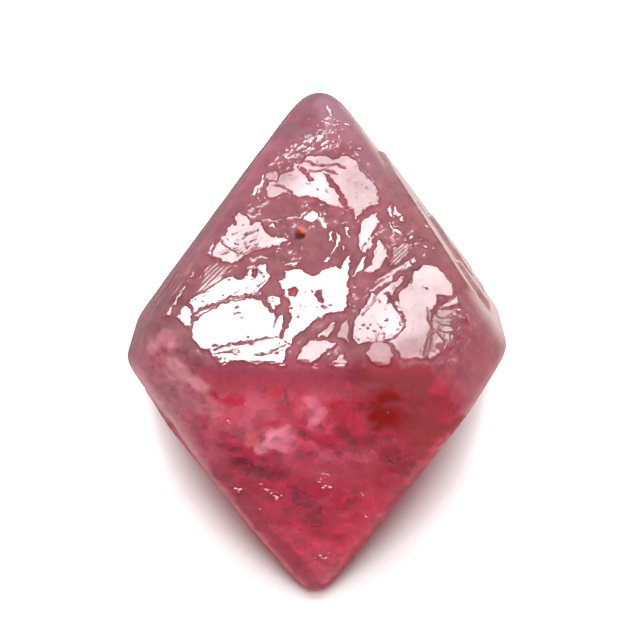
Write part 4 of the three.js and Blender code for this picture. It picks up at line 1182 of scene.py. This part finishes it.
def spinel_material(look):
    """See-through red. Roughness, milkiness, tint and the mirror coat come from the vertices, the depth
    colour from absorption. The tint is made uneven by a cloudy noise plus angular grains, each with a
    random share, whose borders the same noise bends."""
    material = bpy.data.materials.new("spinel_red")
    n = Nodes(material)
    gloss, rough, milk, mottle = [
        n.add("ShaderNodeAttribute", attribute_name=name).outputs["Fac"]
        for name in ("gloss", "rough", "milk", "mottle")]
    tint = n.add("ShaderNodeAttribute", attribute_name="tint").outputs["Color"]
    place = n.add("ShaderNodeTexCoord").outputs["Object"]
    noise = n.add("ShaderNodeTexNoise", {
        "Vector": place, "Scale": CLOUD_SCALE, "Detail": 8.0, "Roughness": 0.66, "Distortion": 0.3})
    strayed = n.add("ShaderNodeVectorMath", {
        0: noise.outputs["Color"], 1: 3 * [GRAIN_STRAY], 2: place}, operation="MULTIPLY_ADD")
    grain = n.add("ShaderNodeTexVoronoi", {"Vector": strayed.outputs[0], "Scale": GRAIN_SCALE})
    random_share = n.add("ShaderNodeSeparateColor", {0: grain.outputs["Color"]}).outputs[0]
    both = n.add("ShaderNodeMath", {
        0: random_share, 1: GRAIN_SHARE, 2: noise.outputs["Fac"]}, operation="MULTIPLY_ADD")
    spread = n.add("ShaderNodeMapRange", {
        "Value": both.outputs[0], "From Min": MOTTLE_RANGE[0], "From Max": MOTTLE_RANGE[1],
        "To Min": -look.mottle, "To Max": look.mottle})
    shade = n.add("ShaderNodeMath", {0: spread.outputs[0], 1: mottle, 2: 1.0}, operation="MULTIPLY_ADD")
    uneven = n.add("ShaderNodeVectorMath", {0: tint, "Scale": shade.outputs[0]}, operation="SCALE")
    clear = n.add("ShaderNodeMath", {0: 1.0, 1: milk}, operation="SUBTRACT")
    shader = n.add("ShaderNodeBsdfPrincipled", {
        "Base Color": uneven.outputs[0], "Roughness": rough, "IOR": REFRACTIVE_INDEX,
        "Specular Tint": MIRROR_TINT, "Transmission Weight": clear.outputs[0],
        "Coat Weight": gloss, "Coat Roughness": look.coat_roughness, "Coat IOR": REFRACTIVE_INDEX})
    depth = n.add("ShaderNodeVolumeAbsorption", {"Color": (*look.body_red, 1), "Density": look.depth})
    n.add("ShaderNodeOutputMaterial", {"Surface": shader.outputs[0], "Volume": depth.outputs[0]})
    return material


# name: colour, roughness, specular level, share of the light that passes straight through
FINISHES = {
    "brown_grain": ((0.75, 0.03, 0.01), 0.7, 0, 0),
    "pale_flakes": ((1, 0.78, 0.88), 0.1, 0, 0.25),
    "crimson_flakes": ((0.45, 0.01, 0.06), 0.1, 0, 0.5),
    "brown_flakes": ((0.6, 0.03, 0.01), 0.1, 0, 0.5),
    "orange_flakes": ((1, 0.25, 0.08), 0.1, 0, 0.3),
    "pale_lines": ((0.95, 0.7, 0.78), 0.3, 0.5, 0),
    # the chips' bright pink is a painted glint, besides the real mirror of their level faces
    "chips_with_painted_glint": ((1, 0.4, 0.4), 0.15, 0.8, 0),
    "dark_cracks": ((0.12, 0.005, 0.015), 0.7, 0, 0),
    "edge_grains": ((0.05, 0.02, 0.025), 0.6, 0.5, 0),
    "pale_board": ((0.9, 0.9, 0.9), 0.5, 0.5, 0),
}


def plain_material(name):
    """One even finish from the table, made once. Light that passes straight through isn't bent."""
    if name in bpy.data.materials:
        return bpy.data.materials[name]
    colour, roughness, specular, clear = FINISHES[name]
    material = bpy.data.materials.new(name)
    n = Nodes(material)
    shader = n.add("ShaderNodeBsdfPrincipled", {
        "Base Color": (*colour, 1), "Roughness": roughness, "Specular IOR Level": specular})
    if clear:
        shader.inputs["Transmission Weight"].default_value = clear
        shader.inputs["IOR"].default_value = 1
    n.add("ShaderNodeOutputMaterial", {"Surface": shader.outputs[0]})
    return material


# ------------------------------------------------------------------ operators


class SPINEL_OT_crystal(bpy.types.Operator):
    """Makes the crystal itself: one closed surface with plates, seams, pits and terraces"""

    bl_idname = "spinel.crystal"
    bl_label = "Crystal"

    def execute(self, context):
        sizes, look = context.scene.spinel_sizes, context.scene.spinel_look
        directions, triangles = crystal_grid()
        surface = Surface(directions, sizes)
        shape_top(surface)
        for name in FACES:
            if name != "top":
                shape_side(surface, name)
        surface.points[:, 2] = np.maximum(surface.points[:, 2], -REST_DEPTH)
        obj = add_mesh("crystal", to_metres(surface.points), triangles)
        values, tint = skin(surface)
        for name, numbers in {"gloss": surface.gloss, **values}.items():
            add_value(obj, name, numbers)
        add_colour(obj, "tint", tint)
        obj.data.materials.append(spinel_material(look))
        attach(obj, BODY)
        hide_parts(NODE)
        return {"FINISHED"}


def add_inclusion(name, parts, finish):
    """A piece that lies in the crystal and moves with it, from one or several closed shapes."""
    points, triangles = join(parts)
    obj = add_mesh(name, to_metres(points), triangles)
    obj.data.materials.append(plain_material(finish))
    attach(obj, BODY)


class SPINEL_OT_brown_grain(bpy.types.Operator):
    """Makes the dark brown grain inside, near the front"""

    bl_idname = "spinel.brown_grain"
    bl_label = "Brown grain"

    def execute(self, context):
        x, y, depth = BROWN_PLACE
        seed = context.scene.spinel_sizes.seed + 80
        grain = lump(on_front((x, y), depth)[0], BROWN_LUMPS, BROWN_UNEVEN, seed)
        add_inclusion("brown_grain", [grain], "brown_grain")
        return {"FINISHED"}


class SPINEL_OT_veils(bpy.types.Operator):
    """Makes the clouds of flakes, the orange spots and the pale lines"""

    bl_idname = "spinel.veils"
    bl_label = "Veils"

    def execute(self, context):
        rng = np.random.default_rng(context.scene.spinel_sizes.seed + 1)
        add_inclusion("pale_veils", [veil_flakes(PALE_VEILS, rng)], "pale_flakes")
        add_inclusion("crimson_veils", [veil_flakes(CRIMSON_VEILS, rng)], "crimson_flakes")
        add_inclusion("brown_dust", [veil_flakes(BROWN_DUST, rng)], "brown_flakes")
        add_inclusion("orange_spots", [veil_flakes(ORANGE_SPOTS, rng)], "orange_flakes")
        add_inclusion("pale_lines", [ribbon(*line) for line in PALE_LINES], "pale_lines")
        return {"FINISHED"}


# Each chip is broken into shards, which lie round its place: their number, their spread in radii of the
# chip, the least and greatest of their radii, their depth, lean, thickness and stretch
CHIP_SHARDS = 3
SHARD_SPREAD = 0.6
SHARD_RADII = (0.15, 0.75)
SHARD_DEPTH = 0.004
SHARD_LEAN = 0.12
SHARD_THICKNESS = 0.2
SHARD_STRETCH = 1.3


class SPINEL_OT_chips(bpy.types.Operator):
    """Makes the small chips that stand level in the front face: they mirror the back softbox, and their
    bright pink colour is a painted glint
    """

    bl_idname = "spinel.chips"
    bl_label = "Chips"

    def execute(self, context):
        rng = np.random.default_rng(context.scene.spinel_sizes.seed + 2)
        chips = np.repeat(CHIPS, CHIP_SHARDS, axis=0)
        places = chips[:, :2] + rng.normal(0, SHARD_SPREAD, (len(chips), 2)) * chips[:, 2:]
        radii = chips[:, 2] * rng.uniform(*SHARD_RADII, len(chips))
        centres = on_front(places, SHARD_DEPTH)
        normals = unit(np.array([0, 0, 1]) + rng.normal(0, SHARD_LEAN, centres.shape))
        shards = flakes(centres, normals, radii, SHARD_THICKNESS, rng, SHARD_STRETCH)
        add_inclusion("chips_with_painted_glint", [shards], "chips_with_painted_glint")
        return {"FINISHED"}


# Thickness of the dark specks and edge grains, in shares of their radii, and how deep the grains lie
SPECK_THICKNESS = 0.6
GRAIN_THICKNESS = 0.8
GRAIN_DEPTH = 0.012


class SPINEL_OT_fissures(bpy.types.Operator):
    """Makes the dark cracks and specks under the front face and the dark grains along its edge"""

    bl_idname = "spinel.fissures"
    bl_label = "Fissures"

    def execute(self, context):
        rng = np.random.default_rng(context.scene.spinel_sizes.seed + 3)
        add_inclusion("dark_fissures", [ribbon(*line) for line in FISSURES], "dark_cracks")
        places = rng.dirichlet((1, 1, 1), SPECK_COUNT) @ np.array(SPECK_REACH)
        centres = on_front(places, rng.uniform(*SPECK_DEPTHS, SPECK_COUNT))
        normals = unit(rng.normal(0, 1, centres.shape))
        radii = rng.uniform(*SPECK_RADII, SPECK_COUNT)
        specks = flakes(centres, normals, radii, SPECK_THICKNESS, rng)
        add_inclusion("dark_specks", [specks], "dark_cracks")
        x, y, radii = np.array(EDGE_GRAINS).T
        centres = on_front(np.stack([x, y], 1), GRAIN_DEPTH)
        normals = unit(rng.normal(0, 1, centres.shape))
        grains = flakes(centres, normals, radii, GRAIN_THICKNESS, rng)
        add_inclusion("edge_grains", [grains], "edge_grains")
        return {"FINISHED"}


# name: azimuth (0 in front, positive to the right) and elevation in degrees, distance in metres, half of
# the angle in degrees that it fills as seen from the crystal, and radiance
SOFTBOXES = {
    "back_softbox": (180, 64, 0.3, 14, 18),
    "left_softbox": (-121, 72, 0.35, 9, 29),
    "right_softbox": (119, 73, 0.35, 9, 29),
    "front_softbox": (0, 76, 0.35, 8, 27),
}


def direction_to(azimuth, elevation):
    """Unit vector at two angles in radians: azimuth 0 is in front, positive to the right."""
    level = math.cos(elevation)
    return np.array([math.sin(azimuth) * level, -math.cos(azimuth) * level, math.sin(elevation)])


def add_softbox(name, centre, azimuth, elevation, distance, half_angle, radiance):
    """A round light that faces the crystal. Its power is its radiance times pi times its area."""
    direction = direction_to(math.radians(azimuth), math.radians(elevation))
    radius = distance * math.tan(math.radians(half_angle))
    data = bpy.data.lights.new(name, "AREA")
    data.shape, data.size = "DISK", 2 * radius
    data.energy = radiance * math.pi * math.pi * radius**2
    light = bpy.data.objects.new(name, data)
    place = Vector(centre) + Vector(direction) * distance
    turn = Vector(direction).to_track_quat("Z", "Y").to_matrix().to_4x4()
    light.matrix_world = Matrix.Translation(place) @ turn
    bpy.context.scene.collection.objects.link(light)


FLOOR_SIDES = 64
FLOOR_GAP = 0.02 * MM  # the floor lies this far under the crystal
LENS, SENSOR = 303.9, 36  # mm
CLIP_RANGE = (0.005, 5)  # m
FRAME_SHIFT = (-0.043, 0.366)  # mm, right and up, from the crystal's centre to the middle of the frame


def add_floor(radius):
    """A flat disc with the pale board finish."""
    turn = np.linspace(0, 2 * math.pi, FLOOR_SIDES, endpoint=False)
    rim = radius * np.column_stack([np.cos(turn), np.sin(turn), 0 * turn])
    points = np.vstack([[0, 0, 0], rim]) - (0, 0, FLOOR_GAP)
    index = np.arange(FLOOR_SIDES)
    triangles = np.column_stack([0 * index, index + 1, (index + 1) % FLOOR_SIDES + 1])
    floor = add_mesh("floor", points, triangles)
    floor.data.materials.append(plain_material("pale_board"))


def add_camera(stage, centre):
    """A long lens that looks down at the front. The frame's right and up are turned by the roll, and the
    camera then turns a little so that the crystal's centre sits off the middle by FRAME_SHIFT."""
    back = direction_to(stage.azimuth, stage.elevation)
    level = np.array([math.cos(stage.azimuth), math.sin(stage.azimuth), 0])
    upright = np.cross(back, level)
    sine, cosine = math.sin(stage.roll), math.cos(stage.roll)
    right = cosine * level + sine * upright
    up = -sine * level + cosine * upright
    place = centre + stage.distance * back
    aim = centre + (FRAME_SHIFT[0] * right + FRAME_SHIFT[1] * up) * MM
    look_back = unit(place - aim)
    right = unit(np.cross(up, look_back))
    up = np.cross(look_back, right)
    data = bpy.data.cameras.new("camera")
    data.lens, data.sensor_width = LENS, SENSOR
    data.clip_start, data.clip_end = CLIP_RANGE
    camera = bpy.data.objects.new("camera", data)
    camera.matrix_world = Matrix([*np.column_stack([right, up, look_back, place]).tolist(), (0, 0, 0, 1)])
    bpy.context.scene.collection.objects.link(camera)
    bpy.context.scene.camera = camera


def add_room(sky, horizon):
    """Pale room light: its brightness runs evenly with height from the horizon's to the sky's."""
    world = bpy.data.worlds.new("room")
    bpy.context.scene.world = world
    n = Nodes(world)
    place = n.add("ShaderNodeTexCoord").outputs["Generated"]
    height = n.add("ShaderNodeSeparateXYZ", {0: place}).outputs["Z"]
    strength = n.add("ShaderNodeMapRange", {
        "Value": height, "From Min": 0.0, "From Max": 1.0, "To Min": horizon, "To Max": sky})
    light = n.add("ShaderNodeBackground", {"Color": (1, 1, 1, 1), "Strength": strength.outputs[0]})
    n.add("ShaderNodeOutputWorld", {"Surface": light.outputs[0]})


class SPINEL_OT_stage(bpy.types.Operator):
    """Makes the pale floor, the soft light and the camera"""

    bl_idname = "spinel.stage"
    bl_label = "Stage"

    def execute(self, context):
        stage = context.scene.spinel_stage
        centre = to_metres(np.zeros(3))
        add_floor(stage.floor_radius)
        add_camera(stage, centre)
        for name, numbers in SOFTBOXES.items():
            add_softbox(name, centre, *numbers)
        add_room(stage.sky, stage.horizon)
        context.scene.view_settings.view_transform = "Standard"
        return {"FINISHED"}


class SPINEL_PT_panel(bpy.types.Panel):
    """Sizes, colours and the buttons that make each part"""

    bl_idname = "SPINEL_PT_panel"
    bl_label = "Spinel octahedron"
    bl_space_type = "VIEW_3D"
    bl_region_type = "UI"
    bl_category = "Spinel"

    def draw(self, context):
        for group in GROUPS:
            settings = getattr(context.scene, group)
            box = self.layout.box()
            for name in settings.bl_rna.properties.keys():
                if name not in ("rna_type", "name"):
                    box.prop(settings, name)
        for operator in OPERATORS:
            self.layout.operator(operator.bl_idname)


GROUPS = {"spinel_sizes": CrystalSizes, "spinel_look": CrystalLook, "spinel_stage": StageSettings}
OPERATORS = [
    SPINEL_OT_crystal, SPINEL_OT_brown_grain, SPINEL_OT_veils, SPINEL_OT_chips, SPINEL_OT_fissures,
    SPINEL_OT_stage,
]


def register():
    for cls in [*GROUPS.values(), *OPERATORS, SPINEL_PT_panel]:
        bpy.utils.register_class(cls)
    for name, cls in GROUPS.items():
        setattr(bpy.types.Scene, name, PointerProperty(type=cls))


def unregister():
    for name in GROUPS:
        delattr(bpy.types.Scene, name)
    for cls in reversed([*GROUPS.values(), *OPERATORS, SPINEL_PT_panel]):
        bpy.utils.unregister_class(cls)


def main():
    register()
    bpy.ops.spinel.crystal()
    bpy.ops.spinel.brown_grain()
    bpy.ops.spinel.veils()
    bpy.ops.spinel.chips()
    bpy.ops.spinel.fissures()
    bpy.ops.spinel.stage()


if __name__ == "__main__":
    main()
